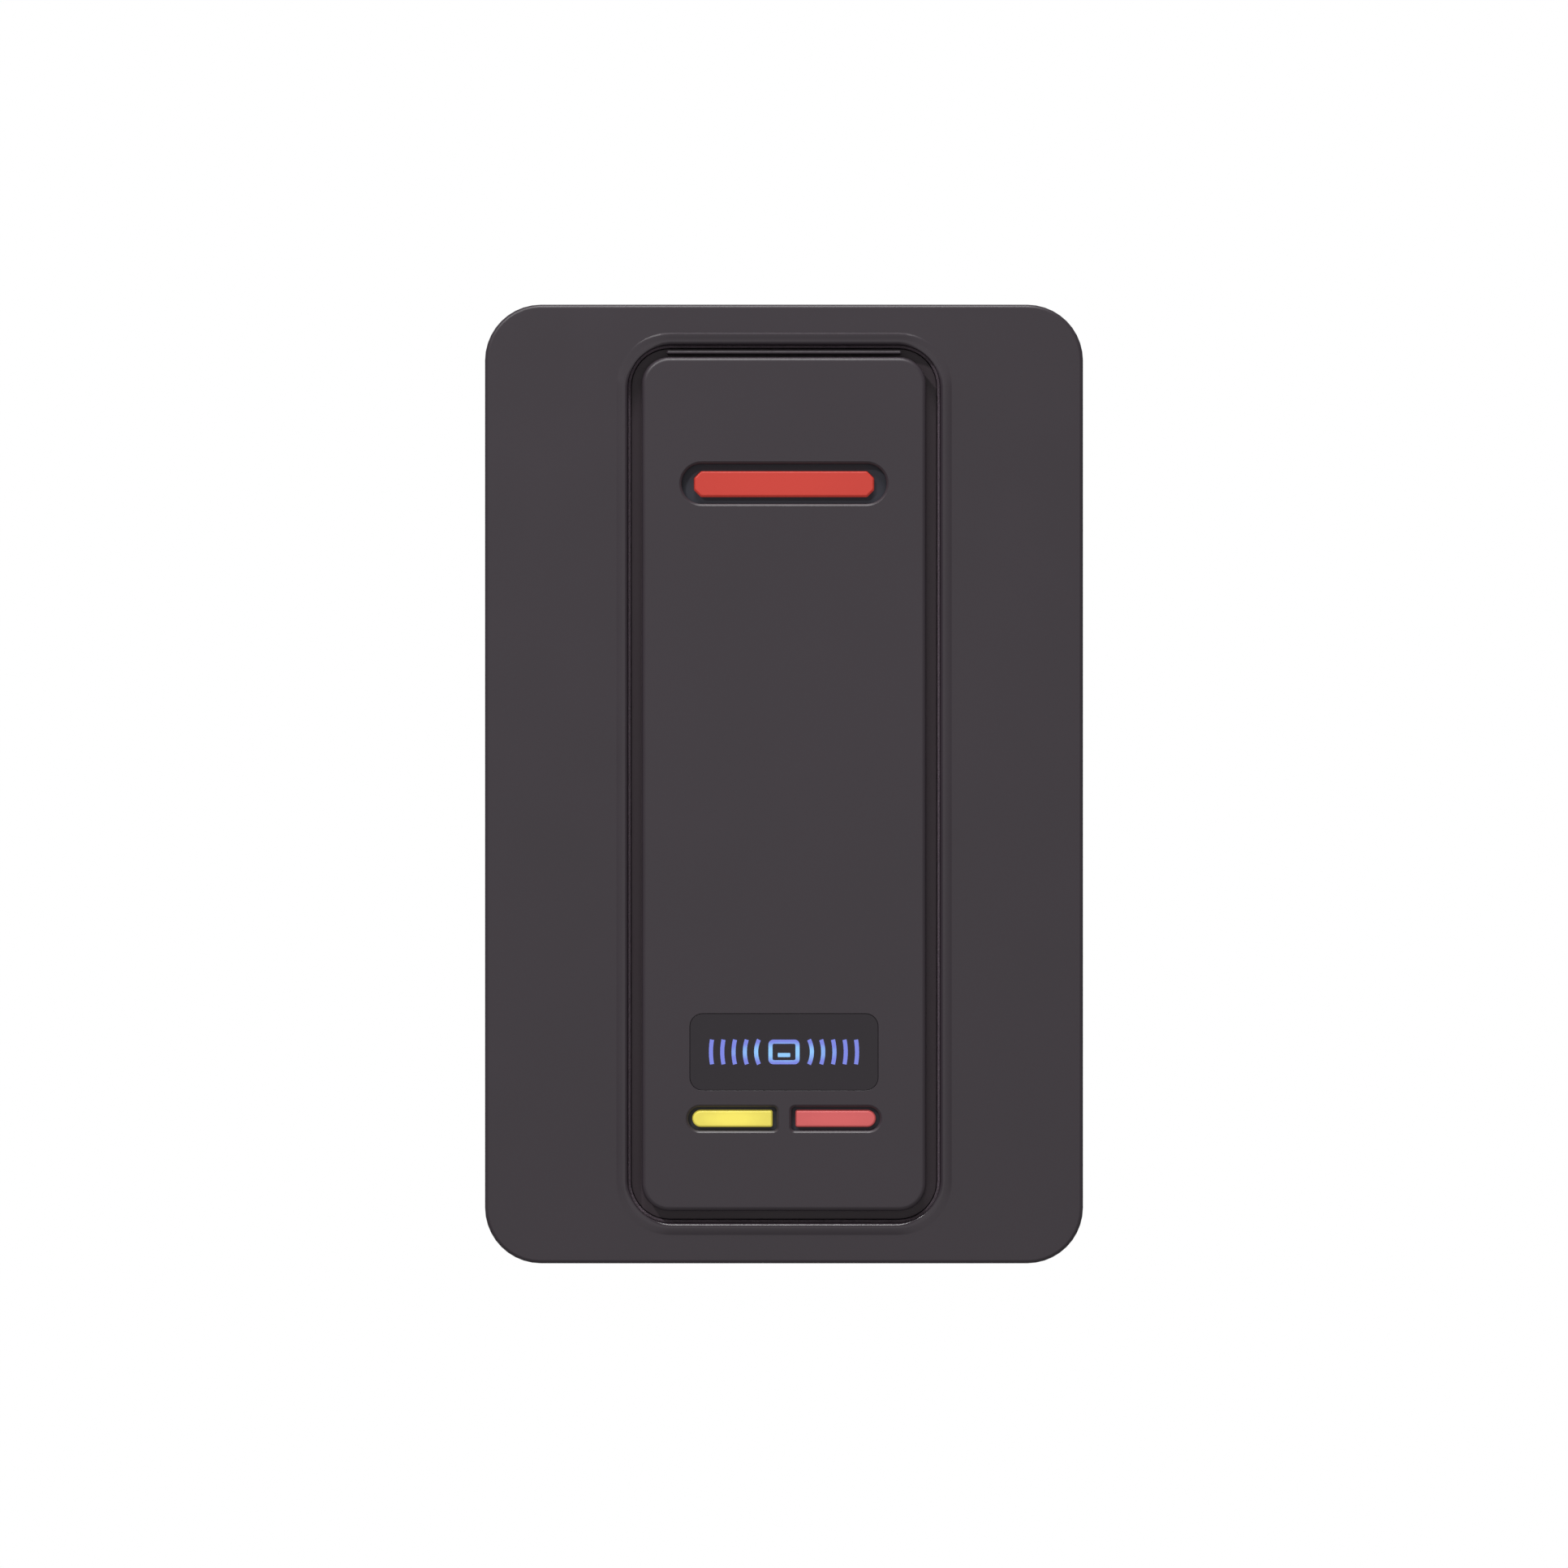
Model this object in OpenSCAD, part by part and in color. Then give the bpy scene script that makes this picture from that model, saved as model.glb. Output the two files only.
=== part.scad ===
// Wall-mounted proximity card reader with a slim core and a wide clip-on trim bezel.
// Each part is drawn facing the viewer: x to the right, y up, z away from the wall.
// as_hung() then stands it up: the wall is the plane y = 0 and the front faces -Y.
// The origin is midway between the two box screw holes, on the wall.

/* [Whole reader] */
// Width over the trim bezel
reader_w = 73; // [66:0.5:96]
// Height over the trim bezel
reader_h = 117; // [112:0.5:150]
// Depth from the wall to the front of the face panel
reader_d = 18; // [17.5:0.5:26]
// Outer corner radius of the trim bezel
corner_r = 6.8; // [6:0.1:11]

/* [Trim bezel] */
// Wall thickness of the bezel
bezel_t = 1.8; // [1.4:0.1:2.4]
// Radius along the bezel's front edge
bezel_edge_r = 0.5; // [0.3:0.1:1.5]
// How far the bezel's front lies behind the face panel's front
bezel_setback = 0.8; // [0.4:0.1:1.4]
// Gap between the wall and the bezel's back edge
bezel_wall_gap = 0.4; // [0:0.1:1]
// Width of the opening around the face panel
opening_w = 38; // [37:0.5:46]
// Border of bezel above and below the opening
opening_border = 4.95; // [4.9:0.05:7.4]
// Corner radius of the opening
opening_r = 5; // [4.1:0.1:7]
// Width of the raised lip around the opening
lip_w = 1.5; // [1.25:0.05:2]
// Rise of the lip above the bezel's front
lip_rise = 0.3; // [0.2:0.05:0.6]
// Thickness of the collar inside the opening
collar_t = 1.2; // [1:0.1:1.3]
// Width of the pry notch in the bottom edge
notch_w = 8; // [5:0.5:14]
// Depth of the pry notch
notch_d = 1.2; // [0.8:0.1:2]

/* [Face cover] */
// Width of the groove on both sides of the panel
groove_w = 1.65; // [1.3:0.05:2.2]
// Width of the groove above and below the panel
groove_end_w = 1.5; // [1.3:0.05:2.2]
// Depth of the groove floor below the panel's front
groove_d = 3.2; // [3.2:0.1:4.6]
// Wall thickness of the face cover and the core tub
core_t = 1.6; // [1.2:0.1:2]
// Radius along the panel's front edge
panel_edge_r = 0.6; // [0.3:0.1:1]
// Thickness of the brim that closes the tub
brim_t = 1.6; // [1.2:0.1:2.2]
// Length of the alignment rib in the top of the groove
rib_l = 28.6; // [10:0.2:31]

/* [Lights] */
// Width of the slot around the top lens
top_slot_w = 25; // [20:0.1:27]
// Height of the slot around the top lens
top_slot_h = 4.9; // [4.4:0.05:6.4]
// Distance from the panel's top edge to the top lens's middle
top_lens_drop = 15.45; // [14.6:0.05:18.4]
// Margin from each end of the top slot to its lens
top_margin_end = 1.6; // [1.2:0.05:2.5]
// Margin from each side of the top slot to its lens
top_margin_side = 0.95; // [0.8:0.025:1.2]
// Chamfer on the top lens's corners
top_lens_chamfer = 0.8; // [0.3:0.1:1.2]
// Width of each lower slot
low_slot_w = 10.8; // [9:0.1:13]
// Height of each lower slot
low_slot_h = 2.9; // [2.5:0.1:3.8]
// Gap between the two lower slots
low_slot_gap = 1.8; // [1.5:0.1:3]
// Margin from each end of a lower slot to its lens
low_margin_end = 0.6; // [0.35:0.05:1]
// Margin from each side of a lower slot to its lens
low_margin_side = 0.5; // [0.4:0.05:0.6]
// Distance from the panel's bottom edge to the lower lenses' middle
low_lens_lift = 11.25; // [9:0.05:14]
// Width of the badge window
badge_w = 23; // [18:0.1:28]
// Height of the badge window
badge_h = 9.4; // [7.8:0.1:11.4]
// Corner radius of the badge window
badge_r = 1.6; // [0.6:0.1:2.5]
// Distance from the lower lenses' middle up to the badge's middle
badge_rise = 8.15; // [6.9:0.05:10.1]

/* [Mounting plate] */
// Thickness of the mounting plate
plate_t = 2.5; // [2:0.1:3.2]
// Height of the plate's rim from the wall
plate_rim_h = 8; // [6:0.5:10]
// Thickness of the plate's rim
plate_rim_t = 1.6; // [1.2:0.1:2]
// Spacing of the two box screw holes
box_screw_pitch = 83.3; // [60:0.1:100]
// Radius of the box and wall screw holes
wall_hole_r = 2.1; // [1.7:0.1:2.6]
// Inset of the four wall screw holes from the plate's edges
wall_hole_inset = 7.8; // [7.4:0.1:10]
// Width of the cable opening
cable_w = 32; // [26.5:0.5:36]
// Height of the cable opening
cable_h = 46; // [36:0.5:56]

/* [Electronics] */
// Thickness of the circuit board
pcb_t = 1.6; // [1:0.1:2]
// Height of the circuit board's back above the tub floor
pcb_lift = 2.2; // [2:0.1:2.7]
// Number of terminals
terminals = 8; // [4:1:8]
// Travel of the tamper plunger
plunger_travel = 1.5; // [0.8:0.1:1.8]

/* [Hidden] */
$fn = 64;

// Clearances
gap_slide = 0.25;      // bezel wall to plate rim
gap_brim = 0.3;        // core to bezel opening
gap_seat = 0.1;        // lens, badge or skirt in its seat
gap_thread = 0.05;     // screw in its pilot hole
gap_clear = 0.3;       // pieces that pass without touching
gap_touch = 0.05;      // plunger to the post that holds it down

// Trim bezel
bezel_front = reader_d - bezel_setback;
bezel_in_w = reader_w - 2 * bezel_t;
bezel_in_h = reader_h - 2 * bezel_t;
bezel_in_r = corner_r - bezel_t;
opening_h = reader_h - 2 * opening_border;
flange_reach = min(opening_border - lip_w / 2, corner_r - 1);  // front made with the outer ring
lip_toe = 0.3;         // width of the lip's steep outer slope
lip_fall = 0.12;       // how far the lip falls from its crest to its inner edge
lip_r = 0.5;           // radius of the lip's inner edge
stop_w = 2.4;          // width and reach of the ribs that rest on the plate's rim
stop_reach = 2.2;

// Core: the face cover and the tub behind it
panel_w = opening_w - 2 * groove_w;
panel_h = opening_h - 2 * groove_end_w;
panel_r = opening_r - groove_w;
core_w = opening_w - 2 * gap_brim;
core_h = opening_h - 2 * gap_brim;
core_r = opening_r - gap_brim;
brim_top = reader_d - groove_d;
brim_bottom = brim_top - brim_t;
collar_bottom = brim_top + 0.4;
face_inside = reader_d - core_t;
tub_floor_back = plate_t + 2.7;  // clears the heads of the box screws
tub_floor_front = tub_floor_back + core_t;
tub_in_w = core_w - 2 * core_t;
tub_in_h = core_h - 2 * core_t;
tub_in_r = core_r - core_t;
skirt_t = 1;           // locating skirt of the face cover, inside the tub
skirt_l = 1.6;
seal_w = 0.8;          // cord seal between brim and tub
seal_d = 0.6;

// Alignment rib in the top of the groove
rib_t = 0.4;
rib_rise = 2.4;
rib_offset = 0.4;      // from the panel's top edge to the rib

// Lights
top_lens_y = panel_h / 2 - top_lens_drop;
top_lens_w = top_slot_w - 2 * top_margin_end;
top_lens_h = top_slot_h - 2 * top_margin_side;
low_lens_x = (low_slot_w + low_slot_gap) / 2;
low_lens_y = low_lens_lift - panel_h / 2;
low_lens_w = low_slot_w - 2 * low_margin_end;
low_lens_h = low_slot_h - 2 * low_margin_side;
badge_y = low_lens_y + badge_rise;
top_slot_d = 1;
low_slot_d = 0.8;
badge_seat_d = 0.5;
badge_t = 0.45;
badge_ledge = 1.85;    // width of the ledge that the badge window rests on
top_lens_sink = 0.3;   // lens fronts below the panel's front
low_lens_sink = 0.2;
flange_t = 0.8;        // flange that holds a lens behind the face
flange_w = 1.15;
low_flange_w = 0.5;
guide_t = 1;           // flange of the badge's light guide
legend_d = 0.4;        // depth of the pictogram in the badge window
legend_line = 0.5;     // line width of the pictogram
legend_card = [3.8, 3];
legend_reach = badge_w / 2 - 2.6;  // from the badge's middle to the outermost wave

// Mounting plate
plate_w = bezel_in_w - 2 * gap_slide;
plate_h = bezel_in_h - 2 * gap_slide;
plate_r = bezel_in_r - gap_slide;
cable_r = 3;
countersink_r = 4;
countersink_d = 1.6;
gasket_inset = 2.2;    // plate edge to the gasket
gasket_w = 2.8;
gasket_d = 1;
grip_r = 1.2;          // grip bumps on the rim, which stand out by grip_rise
grip_rise = 0.18;
grip_l = 8;
rail_w = 2;            // rails that carry the tub
rail_l = 24;
tub_boss_r = 3.5;

// Screws
tub_screw_x = 11;
tub_screw_inset = 3.05;  // from the tub's inner end wall to the screw
tub_screw_y = tub_in_h / 2 - tub_screw_inset;
tub_screw_r = 1.45;
tub_head_r = 2.5;
tub_head_h = 1.8;
tub_screw_tip = 1.2;   // distance of the tip from the wall
tub_pilot_floor = 0.8;
pcb_screw_r = 0.8;
pcb_head_r = 1.9;
pcb_head_h = 1.2;
pcb_boss_r = 2.3;
pcb_pilot_l = 2;

// Circuit board
pcb_edge_gap = 1.6;
pcb_w = tub_in_w - 2 * pcb_edge_gap;
pcb_h = 2 * (tub_screw_y - tub_head_r - 0.6);
pcb_r = 1.5;
pcb_back = tub_floor_front + pcb_lift;
pcb_front = pcb_back + pcb_t;
pcb_screw_top = [12.5, pcb_h / 2 - 2.5];

// Light shields on the board, with a cell around each light
led_size = [3.5, 2.8, 1.9];
shield_wall = 1.5;
shield_rim = 0.9;
top_cell_w = top_lens_w + 3 * gap_clear;
top_cell_h = max(top_lens_h + 3 * gap_clear, led_size[1] + 2 * gap_seat);
top_shield_w = top_cell_w + 2 * shield_wall;
top_shield_h = top_cell_h + 2 * shield_wall;
low_cell_w = low_lens_w + 3 * gap_clear;
low_cell_h = max(low_lens_h + 3 * gap_clear, led_size[1] + 2 * gap_seat);
badge_cell_w = badge_w - 2.7;
badge_cell_h = badge_h - 1.2;
low_shield_w = 2 * shield_rim + max(2 * low_lens_x + low_cell_w, badge_cell_w);
low_shield_top = badge_y + badge_cell_h / 2 + shield_rim;
low_shield_bottom = low_lens_y - low_cell_h / 2 - shield_rim;

// Strip of parts between the badge's shield and the antenna
strip_h = 8.6;
strip_y = low_shield_top + strip_h / 2 + 0.1;
pcb_screw_low = [13, strip_y - 0.3];

// Antenna, from the strip up to the top lens's shield
coil_edge = 1;         // board edge to the antenna
coil_flange = 3;       // reach of the former's flanges
coil_flange_t = 0.7;
former_t = 0.8;
former_h = 4.4;
coil_in_r = 4;
coil_bottom = low_shield_top + strip_h;
coil_top = top_lens_y - top_shield_h / 2 - 2.1;
coil_y = (coil_top + coil_bottom) / 2;
coil_in_w = pcb_w - 2 * coil_edge - 2 * coil_flange;
coil_in_h = coil_top - coil_bottom - 2 * coil_flange;
coil_in_bottom = coil_bottom + coil_flange;
coil_in_top = coil_top - coil_flange;

// Terminal block behind the board
terminal_pitch = 2.54;
terminal_y = max(coil_in_bottom + 6, 9 - cable_h / 2);  // in the coil and in the cable opening
terminal_h = 6.6;
terminal_w = terminals * terminal_pitch + 0.6;
terminal_back = 0.3;   // distance of the block's back from the wall
terminal_pin_r = 0.45;
tunnel_w = 1.8;        // wire tunnels and the screws that close them
tunnel_h = 2;
tunnel_l = 4.7;
tunnel_z = 2.6;
clamp_screw_r = 0.85;
port_gap = 1.1;        // seal between the block and the tub's port
port_w = terminal_w + 2 * port_gap;
port_h = terminal_h + 2 * port_gap;

// Tamper switch
switch_a = 6;
switch_h = 4.3;
plunger_r = 1.4;
plunger_flange_r = 1.9;
plunger_flange_t = 0.5;
plunger_top = pcb_front + 4.6;
plunger_foot = pcb_front + 1.6;
switch_bore_floor = pcb_front + 0.4;
switch_neck = plunger_foot + plunger_flange_t + plunger_travel + gap_touch;
spring_wire_r = 0.14;
spring_turns = 3;
spring_r = 1.3;

// Buzzer, chips and other parts inside the antenna, placed from its middle and top, and
// round the terminals
buzzer_at = [-4.6, coil_in_top - 8];
buzzer_r = 6;
buzzer_h = 4.6;
disc_r = 5.1;
crystal_at = [7, coil_in_top - 7.6];
mcu_at = [-4.6, coil_y];
mcu_a = 7;
rf_at = [6, coil_y - 1];
rf_size = [3.9, 9.9];
regulator_at = [-4.4, terminal_y - 3.4];
can_at = [[-7.6, terminal_y + 5.4, 3], [7.4, terminal_y + 5.2, 2.5]];  // x, y and radius
can_h = 4.8;
film_at = [[-7.2, strip_y - 0.8], [7.2, strip_y - 0.8]];
film_size = [5.4, 5, 3.4];

chip_size = [2, 1.25, 0.55];  // small surface-mount parts, with metal ends end_l long
end_l = 0.4;
resistor_at = concat(
    [for (i = [0:5]) [-8 + 3.2 * i, pcb_screw_top[1]]],
    [for (i = [0:1]) [1.4 + 2.9 * i, terminal_y - 4.8]],
    [for (i = [0:1]) [2.6 + 2.9 * i, coil_in_top - 14.6]]);
capacitor_at = concat(
    [for (i = [0:2]) [1.4 + 2.9 * i, terminal_y - 2.8]],
    [for (i = [0:1]) [-1.45 + 2.9 * i, terminal_y + 7.2]]);
transistor_at = [[-0.4, terminal_y + 4.4], [3, terminal_y + 4.4]];

// Colours
plastic_dark = "#444144";
plastic_black = "#242226";
silver = "#c8cacd";

// ---- Helpers ----

module as_hung() { rotate([90, 0, 0]) children(); }

// A quarter and a half of a disc, which meet squares edge to edge.
module quarter_disc(r) { intersection() { circle(r); square(r + 1); } }
module half_disc(r) { intersection() { circle(r); translate([0, -r - 1]) square([r + 1, 2 * r + 2]); } }

// Rectangle with round corners, centred.
module round_rect(w, h, r) {
    square([w - 2 * r, h], center = true);
    for (s = [-1, 1])
        translate([s * (w / 2 - r / 2), 0]) square([r, h - 2 * r], center = true);
    for (k = [0:3])
        rotate(90 * k)
            translate((k % 2 == 0 ? [w, h] : [h, w]) / 2 - [r, r]) quarter_disc(r);
}

// Slot with two round ends.
module stadium(w, h) {
    square([w - h, h], center = true);
    for (s = [0, 180]) rotate(s) translate([(w - h) / 2, 0]) half_disc(h / 2);
}

// Slot with a round left end and a square right end.
module d_slot(w, h) {
    translate([-w / 2 + h / 2, -h / 2]) square([w - h / 2, h]);
    translate([-w / 2 + h / 2, 0]) rotate(180) half_disc(h / 2);
}

// Rectangle with cut corners.
module cut_rect(w, h, c) {
    x = w / 2;
    y = h / 2;
    polygon([[-x + c, -y], [x - c, -y], [x, -y + c], [x, y - c],
             [x - c, y], [-x + c, y], [-x, y - c], [-x, -y + c]]);
}

// Extrudes a flat shape from one height to another.
module layer(z0, z1) { translate([0, 0, z0]) linear_extrude(z1 - z0) children(); }

// Sweeps a profile around a rounded rectangle. In the profile, x is the distance outward
// from the outline and y is the height above the wall.
module around(w, h, r) {
    for (k = [0:3]) {
        wide = k % 2 == 0 ? w : h;
        long = k % 2 == 0 ? h : w;
        rotate(90 * k) {
            translate([wide / 2, long / 2 - r, 0])
                rotate([90, 0, 0]) linear_extrude(long - 2 * r) children();
            translate([wide / 2 - r, long / 2 - r, 0])
                rotate_extrude(angle = 90) translate([r, 0]) children();
        }
    }
}

// Box standing on the plane z0, with its middle at [x, y].
module box_at(at, size, z0) {
    translate([at[0] - size[0] / 2, at[1] - size[1] / 2, z0]) cube(size);
}

module rod(at, r, z0, z1) { translate([at[0], at[1], z0]) cylinder(r = r, h = z1 - z0); }

function mirrored(x, y) = [for (sx = [-1, 1], sy = [-1, 1]) [sx * x, sy * y]];
tub_screw_spots = mirrored(tub_screw_x, tub_screw_y);
board_screw_spots = [for (s = [-1, 1], p = [pcb_screw_top, pcb_screw_low]) [s * p[0], p[1]]];
terminal_spots = [for (i = [0:terminals - 1]) [(i - (terminals - 1) / 2) * terminal_pitch, terminal_y]];

// ---- Trim bezel: the wide clip-on cover around the core ----

module bezel_edge_profile() {
    translate([-bezel_t, bezel_wall_gap])
        square([bezel_t, bezel_front - bezel_edge_r - bezel_wall_gap]);
    translate([-flange_reach, bezel_front - bezel_t]) square([flange_reach - bezel_edge_r, bezel_t]);
    translate([-bezel_edge_r, bezel_front - bezel_edge_r]) quarter_disc(bezel_edge_r);
}

// The raised lip rises steeply, falls gently inward, then rounds over into the collar.
module lip_profile() {
    crest = bezel_front + lip_rise;
    edge = crest - lip_fall;
    polygon([
        [0, collar_bottom], [collar_t, collar_bottom], [collar_t, bezel_front - bezel_t],
        [lip_w, bezel_front - bezel_t], [lip_w, bezel_front], [lip_w - lip_toe, crest],
        [lip_r, edge], [lip_r, edge - lip_r], [0, edge - lip_r]
    ]);
    translate([lip_r, edge - lip_r]) rotate(90) quarter_disc(lip_r);
}

// Ribs inside the skirt that stop against the plate's rim.
module bezel_stops() {
    z1 = bezel_front - bezel_t;
    side_y = bezel_in_h / 2 - 16;
    end_x = bezel_in_w / 2 - 12;
    for (s = [-1, 1], y = [-side_y, 0, side_y])
        box_at([s * (bezel_in_w - stop_reach) / 2, y], [stop_reach, stop_w, z1 - plate_rim_h], plate_rim_h);
    for (s = [-1, 1], x = [-end_x, end_x])
        box_at([x, s * (bezel_in_h - stop_reach) / 2], [stop_w, stop_reach, z1 - plate_rim_h], plate_rim_h);
}

module trim_bezel() {
    color(plastic_dark) difference() {
        union() {
            around(reader_w, reader_h, corner_r) bezel_edge_profile();
            around(opening_w, opening_h, opening_r) lip_profile();
            layer(bezel_front - bezel_t, bezel_front) difference() {
                round_rect(reader_w - 2 * flange_reach, reader_h - 2 * flange_reach,
                           corner_r - flange_reach);
                round_rect(opening_w + 2 * lip_w, opening_h + 2 * lip_w, opening_r + lip_w);
            }
            bezel_stops();
        }
        translate([-notch_w / 2, -reader_h / 2 - 1, bezel_wall_gap - 1])
            cube([notch_w, bezel_t + 2, notch_d + 1]);
    }
}

// ---- Face cover: the panel in the middle, with its windows ----

module panel_edge_profile() {
    translate([-core_t, brim_bottom]) square([core_t, reader_d - panel_edge_r - brim_bottom]);
    translate([-core_t, face_inside]) square([core_t - panel_edge_r, core_t]);
    translate([-panel_edge_r, reader_d - panel_edge_r]) quarter_disc(panel_edge_r);
}

// Places each child at a lower lens: the left one as drawn, the right one mirrored.
module at_left_lens() { translate([-low_lens_x, low_lens_y]) children(); }
module at_right_lens() { translate([low_lens_x, low_lens_y]) mirror([1, 0, 0]) children(); }

module window_cuts() {
    top = reader_d + 1;
    layer(reader_d - top_slot_d, top) translate([0, top_lens_y]) stadium(top_slot_w, top_slot_h);
    layer(face_inside - 1, top) translate([0, top_lens_y])
        cut_rect(top_lens_w + 2 * gap_seat, top_lens_h + 2 * gap_seat, top_lens_chamfer);
    layer(reader_d - low_slot_d, top) {
        at_left_lens() d_slot(low_slot_w, low_slot_h);
        at_right_lens() d_slot(low_slot_w, low_slot_h);
    }
    layer(face_inside - 1, top) {
        at_left_lens() d_slot(low_lens_w + 2 * gap_seat, low_lens_h + 2 * gap_seat);
        at_right_lens() d_slot(low_lens_w + 2 * gap_seat, low_lens_h + 2 * gap_seat);
    }
    layer(reader_d - badge_seat_d, top) translate([0, badge_y]) round_rect(badge_w, badge_h, badge_r);
    layer(face_inside - 1, top) translate([0, badge_y])
        square([badge_w - 2 * badge_ledge, badge_h - 2 * badge_ledge], center = true);
}

module face_cover() {
    in_w = panel_w - 2 * core_t;
    in_h = panel_h - 2 * core_t;
    in_r = panel_r - core_t;
    skirt_w = tub_in_w - 2 * gap_seat;
    skirt_h = tub_in_h - 2 * gap_seat;
    skirt_r = tub_in_r - gap_seat;
    color(plastic_dark) difference() {
        union() {
            around(panel_w, panel_h, panel_r) panel_edge_profile();
            layer(face_inside, reader_d) round_rect(in_w, in_h, in_r);
            layer(brim_bottom, brim_top) difference() {
                round_rect(core_w, core_h, core_r);
                round_rect(panel_w - core_t, panel_h - core_t, panel_r - core_t / 2);
            }
            around(skirt_w, skirt_h, skirt_r)
                translate([-skirt_t, brim_bottom - skirt_l]) square([skirt_t, skirt_l + core_t / 2]);
            box_at([0, panel_h / 2 + rib_offset + rib_t / 2], [rib_l, rib_t, rib_rise], brim_top);
            rod([0, strip_y], plunger_r + 0.4, plunger_top + gap_touch, reader_d - core_t / 2);
        }
        window_cuts();
    }
}

// ---- Lenses, badge and their light guides ----

module top_lens() {
    color("#c84a42") translate([0, top_lens_y]) {
        layer(pcb_front + 2.2, reader_d - top_lens_sink) cut_rect(top_lens_w, top_lens_h, top_lens_chamfer);
        layer(face_inside - flange_t, face_inside)
            square([top_lens_w + 2 * flange_w, top_lens_h + 2 * flange_w], center = true);
    }
}

module low_lens() {
    layer(pcb_front + 2.2, reader_d - low_lens_sink) d_slot(low_lens_w, low_lens_h);
    layer(face_inside - flange_t, face_inside)
        d_slot(low_lens_w + 2 * low_flange_w, low_lens_h + 2 * low_flange_w);
}

module left_lens() { color("#f3e468") at_left_lens() low_lens(); }
module right_lens() { color("#cf6262") at_right_lens() low_lens(); }

// Pictogram: a card between two sets of waves, all equally high.
module wave(r) {
    spread = asin(legend_card[1] / 2 / r);
    reach = r + 1;
    intersection() {
        difference() {
            circle(r + legend_line / 2);
            circle(r - legend_line / 2);
        }
        polygon([[0, 0], [reach, -reach * tan(spread)], [reach, reach * tan(spread)]]);
    }
}

module legend_shape() {
    first = legend_card[0] / 2 + 1.5;
    difference() {
        round_rect(legend_card[0], legend_card[1], 0.6);
        round_rect(legend_card[0] - 2 * legend_line, legend_card[1] - 2 * legend_line, 0.2);
    }
    translate([0, -legend_card[1] / 8]) square([legend_card[0] * 0.4, legend_line], center = true);
    for (side = [0, 180], k = [0:4])
        rotate(side) wave(first + k * (legend_reach - first) / 4);
}

module badge_window() {
    front = reader_d - badge_seat_d + badge_t;
    color("#3b393d") difference() {
        layer(reader_d - badge_seat_d, front) translate([0, badge_y])
            round_rect(badge_w - 2 * gap_seat, badge_h - 2 * gap_seat, badge_r - gap_seat);
        layer(front - legend_d, front + 1) translate([0, badge_y]) legend_shape();
    }
}

module badge_legend() {
    front = reader_d - badge_seat_d + badge_t;
    color("#7fb0ec") layer(front - legend_d, front) translate([0, badge_y]) legend_shape();
}

module badge_guide() {
    inner = [badge_w - 2 * badge_ledge - 2 * gap_seat, badge_h - 2 * badge_ledge - 2 * gap_seat];
    color("#e8edf2") translate([0, badge_y]) {
        layer(face_inside - guide_t, reader_d - badge_seat_d) square(inner, center = true);
        layer(face_inside - guide_t, face_inside) square([inner[0] + 2, inner[1] + 2], center = true);
    }
}

// ---- Mounting plate and its gasket ----

wall_spots = mirrored(plate_w / 2 - wall_hole_inset, plate_h / 2 - wall_hole_inset);

module around_gasket() {
    r = max(plate_r - gasket_inset, gasket_w + 0.2);
    around(plate_w - 2 * gasket_inset, plate_h - 2 * gasket_inset, r) children();
}

// Low rounded bumps on the rim that grip the bezel's skirt.
module grip_bumps() {
    z = plate_rim_h - 3;
    for (s = [-1, 1], y = [-plate_h / 4, plate_h / 4])
        translate([s * (plate_w / 2 - grip_r + grip_rise), y, z])
            rotate([90, 0, 0]) cylinder(r = grip_r, h = grip_l, center = true);
    for (s = [-1, 1])
        translate([0, s * (plate_h / 2 - grip_r + grip_rise), z])
            rotate([0, 90, 0]) cylinder(r = grip_r, h = grip_l, center = true);
}

module mounting_plate() {
    rim_in = [plate_w - 2 * plate_rim_t, plate_h - 2 * plate_rim_t];
    color(plastic_black) difference() {
        union() {
            layer(0, plate_t) round_rect(plate_w, plate_h, plate_r);
            layer(0, plate_rim_h) difference() {
                round_rect(plate_w, plate_h, plate_r);
                round_rect(rim_in[0], rim_in[1], plate_r - plate_rim_t);
            }
            grip_bumps();
            for (p = tub_screw_spots) rod(p, tub_boss_r, 0, tub_floor_back);
            for (s = [-1, 1], t = [-1, 1])
                box_at([s * (cable_w / 2 + rail_w / 2), t * (cable_h / 2 + 1)],
                       [rail_w, rail_l / 2, tub_floor_back], 0);
        }
        layer(-1, tub_floor_back + 1) round_rect(cable_w, cable_h, cable_r);
        for (s = [-1, 1]) rod([0, s * box_screw_pitch / 2], wall_hole_r, -1, plate_t + 1);
        for (p = wall_spots) {
            rod(p, wall_hole_r, -1, plate_t + 1);
            translate([p[0], p[1], plate_t - countersink_d])
                cylinder(r1 = wall_hole_r, r2 = countersink_r, h = countersink_d);
        }
        for (p = tub_screw_spots) rod(p, tub_screw_r + gap_thread, tub_pilot_floor, tub_floor_back + 1);
        around_gasket() translate([-gasket_w, -1]) square([gasket_w, gasket_d + 1]);
    }
}

module wall_gasket() {
    color("#2f3033") around_gasket()
        translate([gap_seat - gasket_w, 0]) square([gasket_w - 2 * gap_seat, gasket_d]);
}

// ---- Core tub: carries the board behind the face cover ----

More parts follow.
